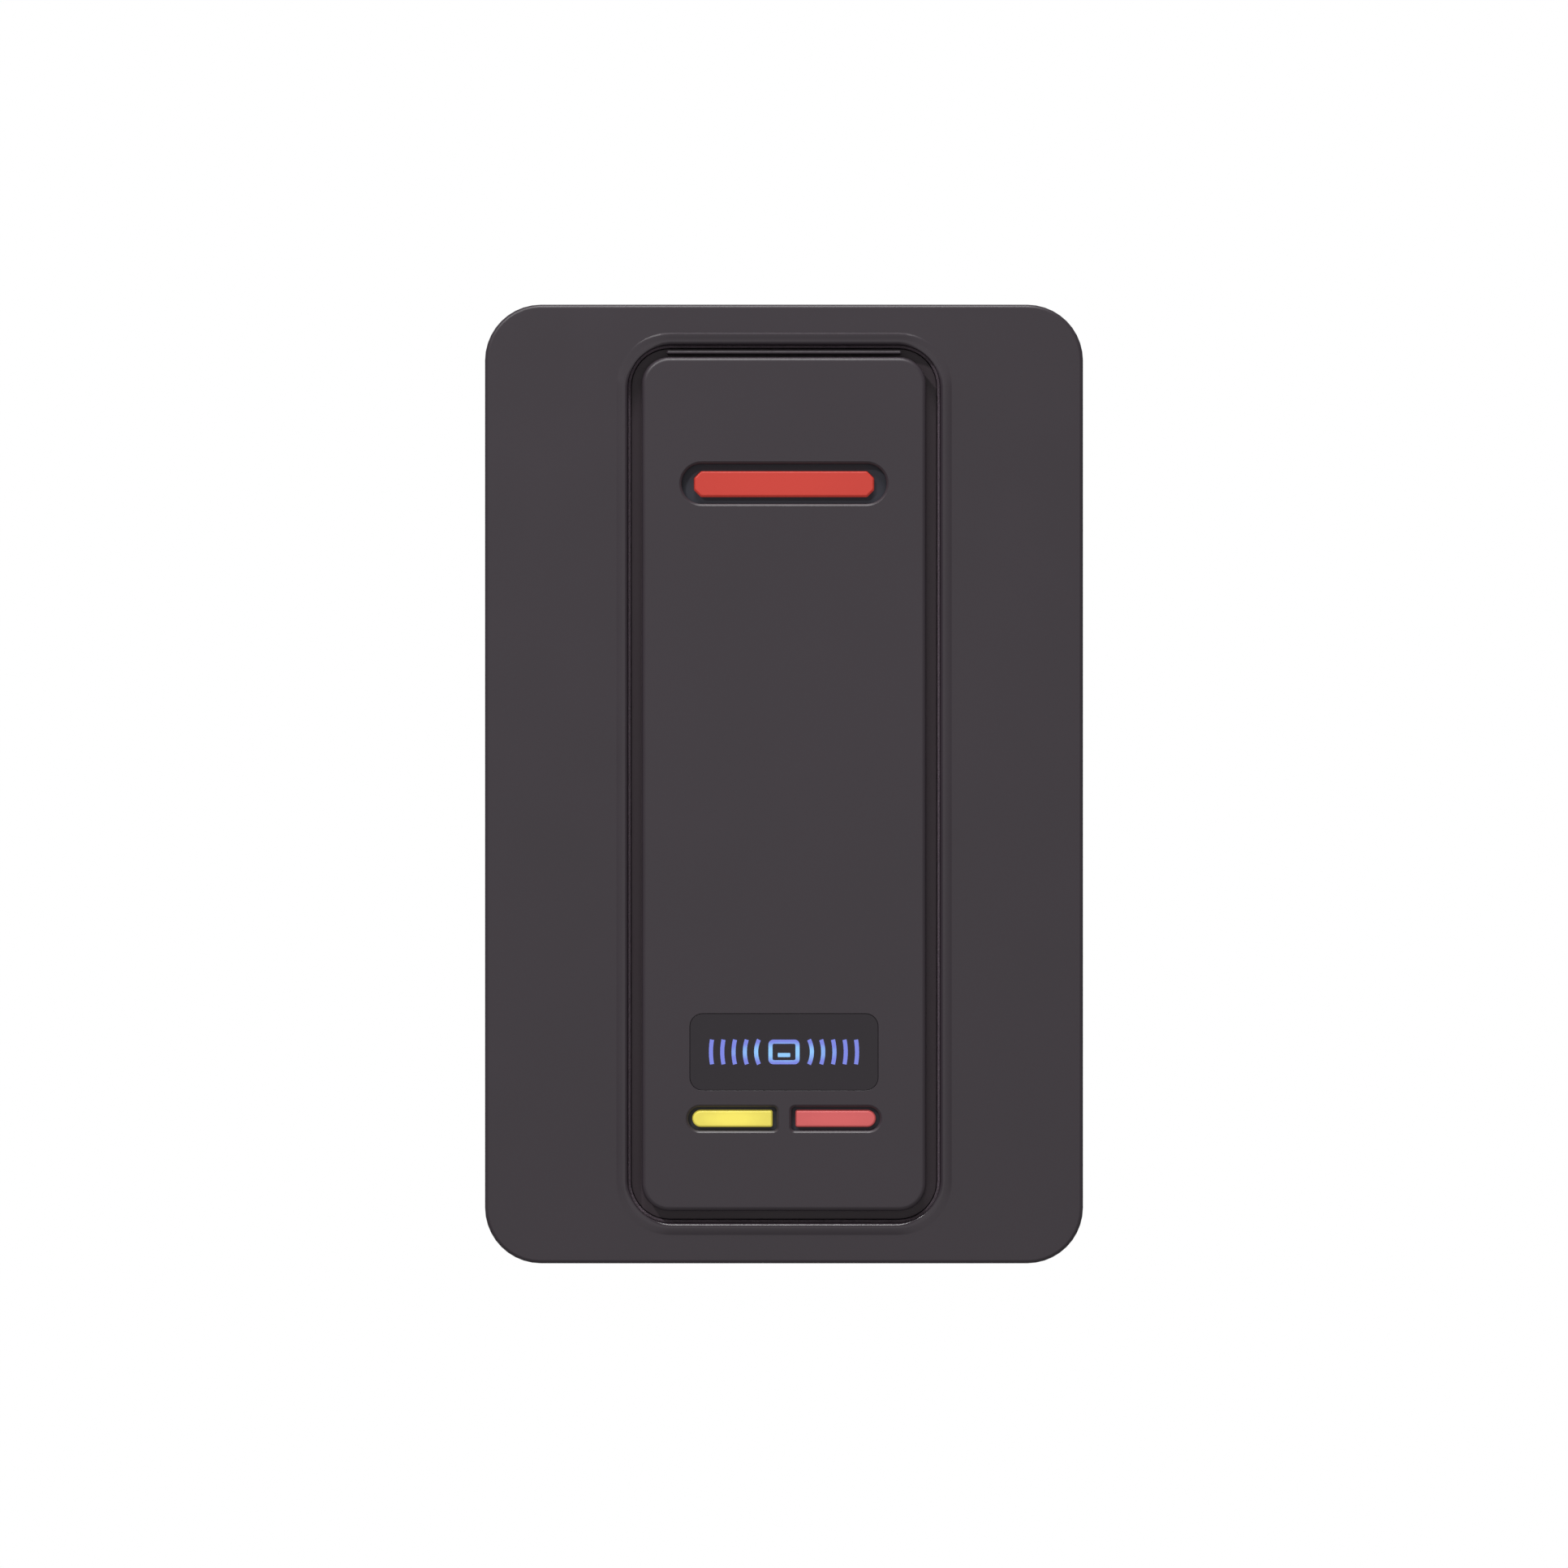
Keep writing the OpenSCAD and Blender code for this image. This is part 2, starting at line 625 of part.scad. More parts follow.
module core_tub() {
    seal_in = (core_t - seal_w) / 2;
    color(plastic_black) difference() {
        union() {
            layer(tub_floor_back, tub_floor_front) round_rect(core_w, core_h, core_r);
            layer(tub_floor_back, brim_bottom) difference() {
                round_rect(core_w, core_h, core_r);
                round_rect(tub_in_w, tub_in_h, tub_in_r);
            }
            for (p = board_screw_spots) rod(p, pcb_boss_r, tub_floor_back, pcb_back);
        }
        for (p = tub_screw_spots) rod(p, tub_screw_r + 0.15, tub_floor_back - 1, tub_floor_front + 1);
        for (p = board_screw_spots) rod(p, pcb_screw_r + gap_thread, pcb_back - pcb_pilot_l, pcb_back + 1);
        layer(tub_floor_back - 1, tub_floor_front + 1)
            translate([0, terminal_y]) square([port_w, port_h], center = true);
        around(core_w - 2 * seal_in, core_h - 2 * seal_in, core_r - seal_in)
            translate([-seal_w, brim_bottom - seal_d]) square([seal_w, seal_d + 1]);
    }
}

module face_seal() {
    seal_in = (core_t - seal_w) / 2 + gap_thread;
    width = seal_w - 2 * gap_thread;
    color("#17181a") around(core_w - 2 * seal_in, core_h - 2 * seal_in, core_r - seal_in)
        translate([-width, brim_bottom - seal_d]) square([width, seal_d]);
}

// Rubber seal that closes the port around the terminal block, with a flange behind the tub.
module port_seal() {
    inner = [terminal_w + 2 * gap_seat, terminal_h + 2 * gap_seat];
    outer = [port_w - 2 * gap_seat, port_h - 2 * gap_seat];
    color("#1b1c1e") translate([0, terminal_y]) {
        layer(tub_floor_back, tub_floor_front) difference() {
            square(outer, center = true);
            square(inner, center = true);
        }
        layer(tub_floor_back - 0.8, tub_floor_back) difference() {
            round_rect(outer[0] + 2.4, outer[1] + 2.4, 1);
            square(inner, center = true);
        }
    }
}

// ---- Screws ----

// Pan-head screw with a cross recess, standing with its head's underside at z = 0.
module pan_screw(r, head_r, head_h, l) {
    recess = head_h * 0.6;
    difference() {
        union() {
            translate([0, 0, -l]) cylinder(r = r, h = l);
            cylinder(r1 = head_r, r2 = head_r * 0.72, h = head_h);
        }
        for (a = [0, 90])
            rotate(a) translate([-head_r * 0.5, -head_r * 0.11, head_h - recess])
                cube([head_r, head_r * 0.22, recess + 1]);
    }
}

module tub_screws() {
    color(silver) for (p = tub_screw_spots)
        translate([p[0], p[1], tub_floor_front])
            pan_screw(tub_screw_r, tub_head_r, tub_head_h, tub_floor_front - tub_screw_tip);
}

module board_screws() {
    color(silver) for (p = board_screw_spots)
        translate([p[0], p[1], pcb_front])
            pan_screw(pcb_screw_r, pcb_head_r, pcb_head_h, pcb_t + pcb_pilot_l - 0.4);
}

// ---- Circuit board and antenna ----

module circuit_board() {
    color("#1f6b45") difference() {
        layer(pcb_back, pcb_front) round_rect(pcb_w, pcb_h, pcb_r);
        for (p = board_screw_spots) rod(p, pcb_screw_r + 0.3, pcb_back - 1, pcb_front + 1);
        for (p = terminal_spots) rod(p, terminal_pin_r + gap_thread, pcb_back - 1, pcb_front + 1);
    }
}

module around_coil() {
    translate([0, coil_y, pcb_front]) around(coil_in_w, coil_in_h, coil_in_r) children();
}

module coil_former() {
    color("#d9d4c6") around_coil() {
        square([former_t, former_h]);
        for (z = [0, former_h - coil_flange_t]) translate([0, z]) square([coil_flange, coil_flange_t]);
    }
}

module antenna_coil() {
    color("#b5652c") around_coil()
        translate([former_t, coil_flange_t])
            square([coil_flange - former_t - 0.2, former_h - 2 * coil_flange_t]);
}

// The coil's two ends come down past the lower flange to pads on the board.
module coil_leads() {
    wire_r = 0.2;
    start = [0, coil_bottom + 0.2 - wire_r, former_h / 2];
    foot = [0, coil_bottom - 1.5, 0.35];
    run = foot - start;
    lean = atan2(-run[1], -run[2]);
    color("#c9762f") for (x = [-7, 7]) translate([x, 0, pcb_front]) {
        translate(start) rotate([180 - lean, 0, 0]) cylinder(r = wire_r, h = norm(run));
        translate([0, foot[1], 0]) cylinder(r1 = 0.75, r2 = 0.35, h = 0.55);
    }
}

// ---- Chips and other parts on the board ----

// Gull-wing lead, seen from the side: x runs outward from the body, y is the height.
module lead_profile() {
    t = 0.16;
    polygon([[0, 0.62], [0.42, 0.62], [0.6, t], [1, t], [1, 0], [0.5, 0], [0.32, 0.62 - t], [0, 0.62 - t]]);
}

module lead_row(count, pitch, width) {
    for (i = [0:count - 1])
        translate([0, (i - (count - 1) / 2) * pitch + width / 2, 0])
            rotate([90, 0, 0]) linear_extrude(width) lead_profile();
}

// Chip with a dimple that marks its first lead.
module chip_body(at, size, h) {
    dimple = at + [0.7 - size[0] / 2, size[1] / 2 - 0.7];
    difference() {
        box_at(at, [size[0], size[1], h - 0.1], pcb_front + 0.1);
        rod(dimple, 0.35, pcb_front + h - 0.1, pcb_front + h + 1);
    }
}

module controller_chip() { color("#1c1c1f") chip_body(mcu_at, [mcu_a, mcu_a], 1.4); }
module radio_chip() { color("#1c1c1f") chip_body(rf_at, rf_size, 1.5); }

module chip_leads() {
    color(silver) {
        for (k = [0:3])
            translate([mcu_at[0], mcu_at[1], pcb_front]) rotate(90 * k)
                translate([mcu_a / 2, 0, 0]) lead_row(8, 0.8, 0.35);
        for (s = [0, 180])
            translate([rf_at[0], rf_at[1], pcb_front]) rotate(s)
                translate([rf_size[0] / 2, 0, 0]) lead_row(8, 1.2, 0.42);
    }
}

// Regulator with its tab towards the top.
module regulator() {
    color("#202023") {
        box_at(regulator_at, [6.4, 3.4, 1.6], pcb_front + 0.05);
        box_at(regulator_at + [0, 2.1], [3, 0.8, 0.5], pcb_front);
        for (i = [-1, 0, 1]) box_at(regulator_at + [2.3 * i, -2], [0.8, 0.6, 0.5], pcb_front);
    }
}

module transistors() {
    color("#1f1f22") for (p = transistor_at) {
        box_at(p, [2.9, 1.3, 0.95], pcb_front + 0.05);
        box_at(p + [0, 0.9], [0.5, 0.5, 0.4], pcb_front);
        for (s = [-1, 1]) box_at(p + [s * 0.95, -0.9], [0.5, 0.5, 0.4], pcb_front);
    }
}

// Low-profile metal can on a wider foot.
module crystal() {
    color("#cfd1d3") translate([crystal_at[0], crystal_at[1]]) {
        layer(pcb_front, pcb_front + 0.5) rotate(90) stadium(11.6, 4.9);
        layer(pcb_front + 0.5, pcb_front + 3.6) rotate(90) stadium(10.4, 3.9);
    }
}

module electrolytic_cans() {
    color("#b9bcc2") for (c = can_at) {
        box_at(c, [2 * c[2] + 0.3, 2 * c[2] + 0.3, 0.9], pcb_front);
        rod(c, c[2] - 0.1, pcb_front + 0.9, pcb_front + 1.6);
        rod(c, c[2] - 0.3, pcb_front + 1.6, pcb_front + 2);
        rod(c, c[2] - 0.1, pcb_front + 2, pcb_front + can_h);
    }
}

module tuning_capacitors() { color("#b8452f") for (p = film_at) box_at(p, film_size, pcb_front); }

module chip_resistors() {
    color("#26272b") for (p = resistor_at) box_at(p, chip_size - [2 * end_l, 0, 0.05], pcb_front);
}

module chip_capacitors() {
    color("#a98d66") for (p = capacitor_at) box_at(p, chip_size - [2 * end_l, 0, -0.2], pcb_front);
}

module chip_ends() {
    color(silver) {
        for (p = resistor_at, s = [-1, 1])
            box_at(p + [s * (chip_size[0] - end_l) / 2, 0], [end_l, chip_size[1], chip_size[2]], pcb_front);
        for (p = capacitor_at, s = [-1, 1])
            box_at(p + [s * (chip_size[0] - end_l) / 2, 0],
                   [end_l, chip_size[1], chip_size[2] + 0.25], pcb_front);
    }
}

// Buzzer: a hollow case with a sound hole, and a thin disc resting on a ledge inside.
buzzer_ledge = pcb_front + 2.4;

module buzzer_case() {
    wall = 0.8;
    color("#18191b") difference() {
        rod(buzzer_at, buzzer_r, pcb_front, pcb_front + buzzer_h);
        rod(buzzer_at, disc_r - 0.5, pcb_front + 0.5, buzzer_ledge + 0.1);
        rod(buzzer_at, disc_r + gap_seat, buzzer_ledge, pcb_front + buzzer_h - wall);
        rod(buzzer_at, 1.1, pcb_front + buzzer_h - wall - 0.1, pcb_front + buzzer_h + 1);
    }
}

module buzzer_disc() { color("#c9a24a") rod(buzzer_at, disc_r, buzzer_ledge, buzzer_ledge + 0.2); }

// ---- Lights on the board and the shields between them ----

module led(at) {
    difference() {
        box_at(at, led_size, pcb_front);
        translate([at[0], at[1], pcb_front + led_size[2] - 0.6]) cylinder(r1 = 0.8, r2 = 1.15, h = 0.7);
    }
}

module status_leds() { color("#f0eee6") for (x = [-7, 0, 7]) led([x, top_lens_y]); }
module badge_leds() { color("#f0eee6") for (x = [-6, 6]) led([x, badge_y]); }
module left_led() { color("#f0eee6") led([-low_lens_x, low_lens_y]); }
module right_led() { color("#f0eee6") led([low_lens_x, low_lens_y]); }

module top_light_shield() {
    shield_top = face_inside - flange_t - gap_clear;
    color(plastic_black) layer(pcb_front, shield_top) translate([0, top_lens_y]) difference() {
        square([top_shield_w, top_shield_h], center = true);
        square([top_cell_w, top_cell_h], center = true);
    }
}

module low_light_shield() {
    h = low_shield_top - low_shield_bottom;
    color(plastic_black) layer(pcb_front, face_inside - guide_t - gap_clear) difference() {
        translate([-low_shield_w / 2, low_shield_bottom]) square([low_shield_w, h]);
        translate([0, badge_y]) square([badge_cell_w, badge_cell_h], center = true);
        for (s = [-1, 1])
            translate([s * low_lens_x, low_lens_y]) square([low_cell_w, low_cell_h], center = true);
    }
}

// ---- Tamper switch: its plunger rises when the face cover comes off ----

module tamper_case() {
    color("#1d1e20") translate([0, strip_y]) difference() {
        box_at([0, 0], [switch_a, switch_a, switch_h], pcb_front);
        rod([0, 0], plunger_flange_r + gap_touch, switch_bore_floor, switch_neck);
        rod([0, 0], plunger_r + gap_touch, switch_neck - 0.1, pcb_front + switch_h + 1);
    }
}

module tamper_plunger() {
    color("#e9e6dc") translate([0, strip_y]) {
        rod([0, 0], plunger_flange_r, plunger_foot, plunger_foot + plunger_flange_t);
        rod([0, 0], plunger_r, plunger_foot, plunger_top);
    }
}

// Coil spring under the plunger: a ring of points carried along a helix.
spring_sides = 8;
spring_steps = 16 * spring_turns;
spring_low = switch_bore_floor + spring_wire_r;
spring_high = plunger_foot - spring_wire_r;

function spring_point(i, j) =
    let (a = 360 * spring_turns * i / spring_steps, b = 360 * j / spring_sides)
    let (r = spring_r + spring_wire_r * cos(b))
    [r * cos(a), r * sin(a),
     spring_low + (spring_high - spring_low) * i / spring_steps + spring_wire_r * sin(b)];

module tamper_spring() {
    n = spring_sides;
    points = [for (i = [0:spring_steps], j = [0:n - 1]) spring_point(i, j)];
    sides = [for (i = [0:spring_steps - 1], j = [0:n - 1])
        [i * n + j, (i + 1) * n + j, (i + 1) * n + (j + 1) % n, i * n + (j + 1) % n]];
    ends = [[for (j = [0:n - 1]) j], [for (j = [0:n - 1]) spring_steps * n + n - 1 - j]];
    color("#d4d6d8") translate([0, strip_y, 0]) polyhedron(points, concat(sides, ends));
}

module tamper_legs() {
    color(silver) for (s = [0, 180], y = [-1.8, 1.8])
        translate([0, strip_y, pcb_front]) rotate(s)
            translate([switch_a / 2, y + 0.35, 0]) rotate([90, 0, 0]) linear_extrude(0.7) lead_profile();
}

// ---- Terminal block behind the board, for the wires out of the wall ----

module terminal_block() {
    low = terminal_y - terminal_h / 2;
    color("#2c6e4f") difference() {
        box_at([0, terminal_y], [terminal_w, terminal_h, pcb_back - terminal_back], terminal_back);
        for (p = terminal_spots) {
            translate([p[0] - tunnel_w / 2, low - 1, tunnel_z]) cube([tunnel_w, tunnel_l + 1, tunnel_h]);
            rod([p[0], low + 2.4], clamp_screw_r + gap_touch, terminal_back - 1, tunnel_z + 0.1);
        }
    }
}

module terminal_clamps() {
    low = terminal_y - terminal_h / 2;
    color(silver) for (p = terminal_spots)
        box_at([p[0], low + 2.4], [tunnel_w - 2 * gap_touch, 3, 0.3], tunnel_z + tunnel_h - 0.3);
}

// Slotted grub screws that press the wires against the clamps.
module terminal_clamp_screws() {
    low = terminal_y - terminal_h / 2;
    back = terminal_back + 0.3;
    color(silver) for (p = terminal_spots) difference() {
        rod([p[0], low + 2.4], clamp_screw_r, back, tunnel_z + 0.2);
        box_at([p[0], low + 2.4], [2 * clamp_screw_r + 1, 0.35, 1.6], back - 1);
    }
}

module terminal_pins() {
    color(silver) for (p = terminal_spots) rod(p, terminal_pin_r, pcb_back, pcb_front + 1.1);
}

// ---- One line for each part ----

as_hung() trim_bezel();
as_hung() face_cover();
as_hung() top_lens();
as_hung() left_lens();
as_hung() right_lens();
as_hung() badge_window();
as_hung() badge_legend();
as_hung() badge_guide();
as_hung() mounting_plate();
as_hung() wall_gasket();
as_hung() core_tub();
as_hung() face_seal();
as_hung() port_seal();
as_hung() tub_screws();
as_hung() board_screws();
as_hung() circuit_board();
as_hung() coil_former();
as_hung() antenna_coil();
as_hung() coil_leads();
as_hung() controller_chip();
as_hung() radio_chip();
as_hung() chip_leads();
as_hung() regulator();
as_hung() transistors();
as_hung() crystal();
as_hung() electrolytic_cans();
as_hung() tuning_capacitors();
as_hung() chip_resistors();
as_hung() chip_capacitors();
as_hung() chip_ends();
as_hung() buzzer_case();
as_hung() buzzer_disc();
as_hung() status_leds();
as_hung() badge_leds();
as_hung() left_led();
as_hung() right_led();
as_hung() top_light_shield();
as_hung() low_light_shield();
as_hung() tamper_case();
as_hung() tamper_plunger();
as_hung() tamper_spring();
as_hung() tamper_legs();
as_hung() terminal_block();
as_hung() terminal_clamps();
as_hung() terminal_clamp_screws();
as_hung() terminal_pins();
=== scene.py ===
"""Looks of a wall-mounted proximity card reader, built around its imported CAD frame.

Each sub-assembly is a class: its sizes are fields, and its methods build and dress its
meshes. They are drawn in plan: x to the right, y up and d out from the wall, in
millimetres, as the reader faces the viewer. In the row frame the front faces -Y.
"""

import logging
import math
import random
from collections.abc import Callable, Iterable, Sequence
from dataclasses import dataclass
from enum import Enum

import bmesh
import bpy
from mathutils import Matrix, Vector
from mathutils.geometry import delaunay_2d_cdt


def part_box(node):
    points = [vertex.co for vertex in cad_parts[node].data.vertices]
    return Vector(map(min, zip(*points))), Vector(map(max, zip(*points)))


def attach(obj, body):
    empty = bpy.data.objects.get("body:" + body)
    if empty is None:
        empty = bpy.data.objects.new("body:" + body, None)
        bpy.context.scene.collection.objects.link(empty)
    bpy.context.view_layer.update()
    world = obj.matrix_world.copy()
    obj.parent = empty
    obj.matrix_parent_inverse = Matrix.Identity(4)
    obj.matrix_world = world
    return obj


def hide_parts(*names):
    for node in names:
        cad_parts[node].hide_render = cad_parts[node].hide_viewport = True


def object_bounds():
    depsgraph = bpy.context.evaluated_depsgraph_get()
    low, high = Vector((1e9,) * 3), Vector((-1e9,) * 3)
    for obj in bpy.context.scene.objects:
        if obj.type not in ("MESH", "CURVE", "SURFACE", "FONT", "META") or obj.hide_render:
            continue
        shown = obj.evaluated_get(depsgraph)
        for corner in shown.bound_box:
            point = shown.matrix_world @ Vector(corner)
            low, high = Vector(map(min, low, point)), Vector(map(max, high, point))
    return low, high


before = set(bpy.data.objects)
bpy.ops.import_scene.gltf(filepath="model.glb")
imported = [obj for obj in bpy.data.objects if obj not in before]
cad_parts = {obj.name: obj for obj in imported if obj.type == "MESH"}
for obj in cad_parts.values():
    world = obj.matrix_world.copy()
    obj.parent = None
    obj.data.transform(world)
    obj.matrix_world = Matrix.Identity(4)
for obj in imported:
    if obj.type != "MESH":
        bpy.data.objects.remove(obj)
CAD_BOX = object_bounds()

MM = 0.001
CORNER_STEPS = 10        # edges along each round corner of the shells
SHARP = math.radians(35)  # faces that meet at more than this keep a crisp edge
SEED = 11
NOISE_LOW, NOISE_HIGH = 0.3, 0.7  # a noise texture's values mostly lie between these
WHITE = "#ffffff"

Point = tuple[float, float]
Ring = list[bmesh.types.BMVert]
Depth = float | Callable[[float, float], float]
Profile = Iterable[tuple[Sequence[Point], Depth]]


class Body(Enum):
    """The CAD bodies that pieces ride on."""

    BASE = "base"
    TRIM = "trim"
    FACE = "face"
    PLUNGER = "plunger"


# ---- Finishes ----


def linear(colour: str, alpha: float = 1.0) -> tuple[float, float, float, float]:
    """Turn an sRGB hex colour into linear values.

    Args:
        colour: The colour, such as "#444144".
        alpha: The fourth value of the result.

    Returns:
        Red, green, blue and alpha.
    """
    parts = [int(colour[i:i + 2], 16) / 255 for i in (1, 3, 5)]
    red, green, blue = (c / 12.92 if c <= 0.04045 else ((c + 0.055) / 1.055) ** 2.4
                        for c in parts)
    return red, green, blue, alpha


def shaded(colour: str, factor: float) -> tuple[float, float, float, float]:
    """Return a hex colour in linear values, made darker or lighter by a factor."""
    red, green, blue, alpha = linear(colour)
    return red * factor, green * factor, blue * factor, alpha


def add_node(tree: bpy.types.NodeTree, kind: str, settings: dict | None = None,
             links: dict | None = None) -> bpy.types.Node:
    """Add a node with its settings and links.

    Args:
        tree: The tree that gets the node.
        kind: The node's type, without "ShaderNode" in front.
        settings: Values by the name of a property or else of an input. "ramp" gives a
            colour ramp's stops as (position, colour) pairs.
        links: The output socket that feeds each input, by the input's name or number.

    Returns:
        The new node.
    """
    made = tree.nodes.new("ShaderNode" + kind)
    for key, value in (settings or {}).items():
        if key == "ramp":
            stops = made.color_ramp.elements
            while len(stops) < len(value):
                stops.new(1.0)
            for stop, (position, colour) in zip(stops, value):
                stop.position, stop.color = position, colour
        elif hasattr(made, key):
            setattr(made, key, value)
        else:
            made.inputs[key].default_value = value
    for key, socket in (links or {}).items():
        tree.links.new(socket, made.inputs[key])
    return made


class Finish:
    """A surface finish, which becomes one node material the first time that it is used."""

    name: str

    def material(self) -> bpy.types.Material:
        """Find the finish's material, or make it.

        Returns:
            The material.
        """
        found = bpy.data.materials.get(self.name)
        if found is None:
            found = bpy.data.materials.new(self.name)
            found.use_nodes = True
            found.node_tree.nodes.clear()
            shader = self.build(found.node_tree)
            add_node(found.node_tree, "OutputMaterial", links={"Surface": shader.outputs[0]})
        return found

    def build(self, tree: bpy.types.NodeTree) -> bpy.types.Node:
        """Lay out the finish's nodes.

        Args:
            tree: The tree that gets the nodes.

        Returns:
            The finish's shader.
        """
        raise NotImplementedError


def surface_normal(tree: bpy.types.NodeTree, height: bpy.types.NodeSocket, height_mm: float,
                   edge_mm: float) -> bpy.types.NodeSocket:
    """Make the normal of a grained surface, with its edges rounded a little.

    Args:
        tree: The tree that gets the nodes.
        height: The grain, from 0 to 1.
        height_mm: How high the grain stands.
        edge_mm: The radius that sharp edges seem to have, or 0 for none.

    Returns:
        The normal's socket.
    """
    settings = {"Strength": 1.0, "Distance": height_mm * MM}
    links = {"Height": height}
    if edge_mm:
        edge = add_node(tree, "Bevel", {"samples": 4, "Radius": edge_mm * MM})
        links["Normal"] = edge.outputs[0]
    return add_node(tree, "Bump", settings, links).outputs[0]


def clouded(tree: bpy.types.NodeTree, place: bpy.types.NodeSocket, size_mm: float, colour: str,
            dark: float, light: float) -> tuple[bpy.types.NodeSocket, bpy.types.NodeSocket]:
    """Make a colour that drifts in soft clouds between a darker and a lighter tone.

    Args:
        tree: The tree that gets the nodes.
        place: The coordinates on the piece.
        size_mm: The size of the clouds.
        colour: The colour between the two tones.
        dark: Factor of the darker tone.
        light: Factor of the lighter tone.

    Returns:
        The clouds' values and their colour.
    """
    clouds = add_node(tree, "TexNoise", {"Scale": 1 / (size_mm * MM), "Detail": 3.0},
                      {"Vector": place}).outputs[0]
    ramp = [(NOISE_LOW, shaded(colour, dark)), (NOISE_HIGH, shaded(colour, light))]
    return clouds, add_node(tree, "ValToRGB", {"ramp": ramp}, {"Fac": clouds}).outputs[0]


def clouded_gloss(tree: bpy.types.NodeTree, clouds: bpy.types.NodeSocket, low: float,
                  high: float) -> bpy.types.NodeSocket:
    """Make a roughness that drifts with the clouds from low to high."""
    settings = {"From Min": NOISE_LOW, "From Max": NOISE_HIGH, "To Min": low, "To Max": high}
    return add_node(tree, "MapRange", settings, {"Value": clouds}).outputs[0]


@dataclass(frozen=True)
class MouldedPlastic(Finish):
    """Injection-moulded plastic: a fine even grain, faint flow mottling and some gloss."""

    name: str
    colour: str
    roughness: float
    ior: float = 1.54
    specular: float = 0.5
    grain_mm: float = 0.35
    grain_height_mm: float = 0.004
    mottle_mm: float = 16.0
    mottle: float = 0.05
    edge_mm: float = 0.0

    def build(self, tree: bpy.types.NodeTree) -> bpy.types.Node:
        """Lay out the finish's nodes.

        Args:
            tree: The tree that gets the nodes.

        Returns:
            The finish's shader.
        """
        place = add_node(tree, "TexCoord").outputs["Object"]
        clouds, colour = clouded(tree, place, self.mottle_mm, self.colour, 1 - self.mottle,
                                 1 + self.mottle)
        gloss = clouded_gloss(tree, clouds, self.roughness - 0.03, self.roughness + 0.03)
        grain = add_node(tree, "TexNoise", {"Scale": 1 / (self.grain_mm * MM), "Detail": 2.0,
                                            "Roughness": 0.6}, {"Vector": place}).outputs[0]
        normal = surface_normal(tree, grain, self.grain_height_mm, self.edge_mm)
        return add_node(tree, "BsdfPrincipled", {
            "IOR": self.ior, "Specular IOR Level": self.specular,
        }, {"Base Color": colour, "Roughness": gloss, "Normal": normal})


@dataclass(frozen=True)
class LitLens(Finish):
    """Tinted acrylic window lit from behind: even colour, a little weaker at its rim."""

    name: str
    colour: str
    glow: float
    rim_share: float = 0.82
    rim: str = ""
    roughness: float = 0.3

    def build(self, tree: bpy.types.NodeTree) -> bpy.types.Node:
        """Lay out the finish's nodes.

        Args:
            tree: The tree that gets the nodes.

        Returns:
            The finish's shader.
        """
        coordinates = add_node(tree, "TexCoord")
        centred = add_node(tree, "VectorMath", {"operation": "SUBTRACT"},
                           {0: coordinates.outputs["Generated"]})
        centred.inputs[1].default_value = (0.5, 0.5, 0.5)
        flat = add_node(tree, "VectorMath", {"operation": "MULTIPLY"}, {0: centred.outputs[0]})
        flat.inputs[1].default_value = (2.0, 0.0, 2.0)
        reach = add_node(tree, "VectorMath", {"operation": "LENGTH"}, {0: flat.outputs[0]})
        haze = add_node(tree, "TexNoise", {"Scale": 1 / (0.9 * MM), "Detail": 2.0},
                        {"Vector": coordinates.outputs["Object"]}).outputs[0]
        spread = add_node(tree, "Math", {"operation": "MULTIPLY_ADD"}, {0: haze})
        spread.inputs[1].default_value = 0.25
        tree.links.new(reach.outputs["Value"], spread.inputs[2])
        colour = add_node(tree, "ValToRGB", {"ramp": [
            (0.45, linear(self.colour)),
            (0.93, shaded(self.rim or self.colour, self.rim_share))]},
            {"Fac": spread.outputs[0]})
        grain = surface_normal(tree, haze, 0.002, 0.0)
        return add_node(tree, "BsdfPrincipled", {
            "IOR": 1.49, "Roughness": self.roughness, "Emission Strength": self.glow,
            "Specular IOR Level": 0.3,
        }, {"Base Color": colour.outputs[0], "Emission Color": colour.outputs[0], "Normal": grain})


@dataclass(frozen=True)
class ClearPlastic(Finish):
    """Clear or frosted plastic that light passes into, with faint clouding."""

    name: str
    colour: str
    roughness: float
    clearness: float
    ior: float = 1.49

    def build(self, tree: bpy.types.NodeTree) -> bpy.types.Node:
        """Lay out the finish's nodes.

        Args:
            tree: The tree that gets the nodes.

        Returns:
            The finish's shader.
        """
        place = add_node(tree, "TexCoord").outputs["Object"]
        clouds, colour = clouded(tree, place, 3.0, self.colour, 0.94, 1.04)
        normal = surface_normal(tree, clouds, 0.004, 0.0)
        return add_node(tree, "BsdfPrincipled", {
            "IOR": self.ior, "Roughness": self.roughness, "Transmission Weight": self.clearness,
        }, {"Base Color": colour, "Normal": normal})


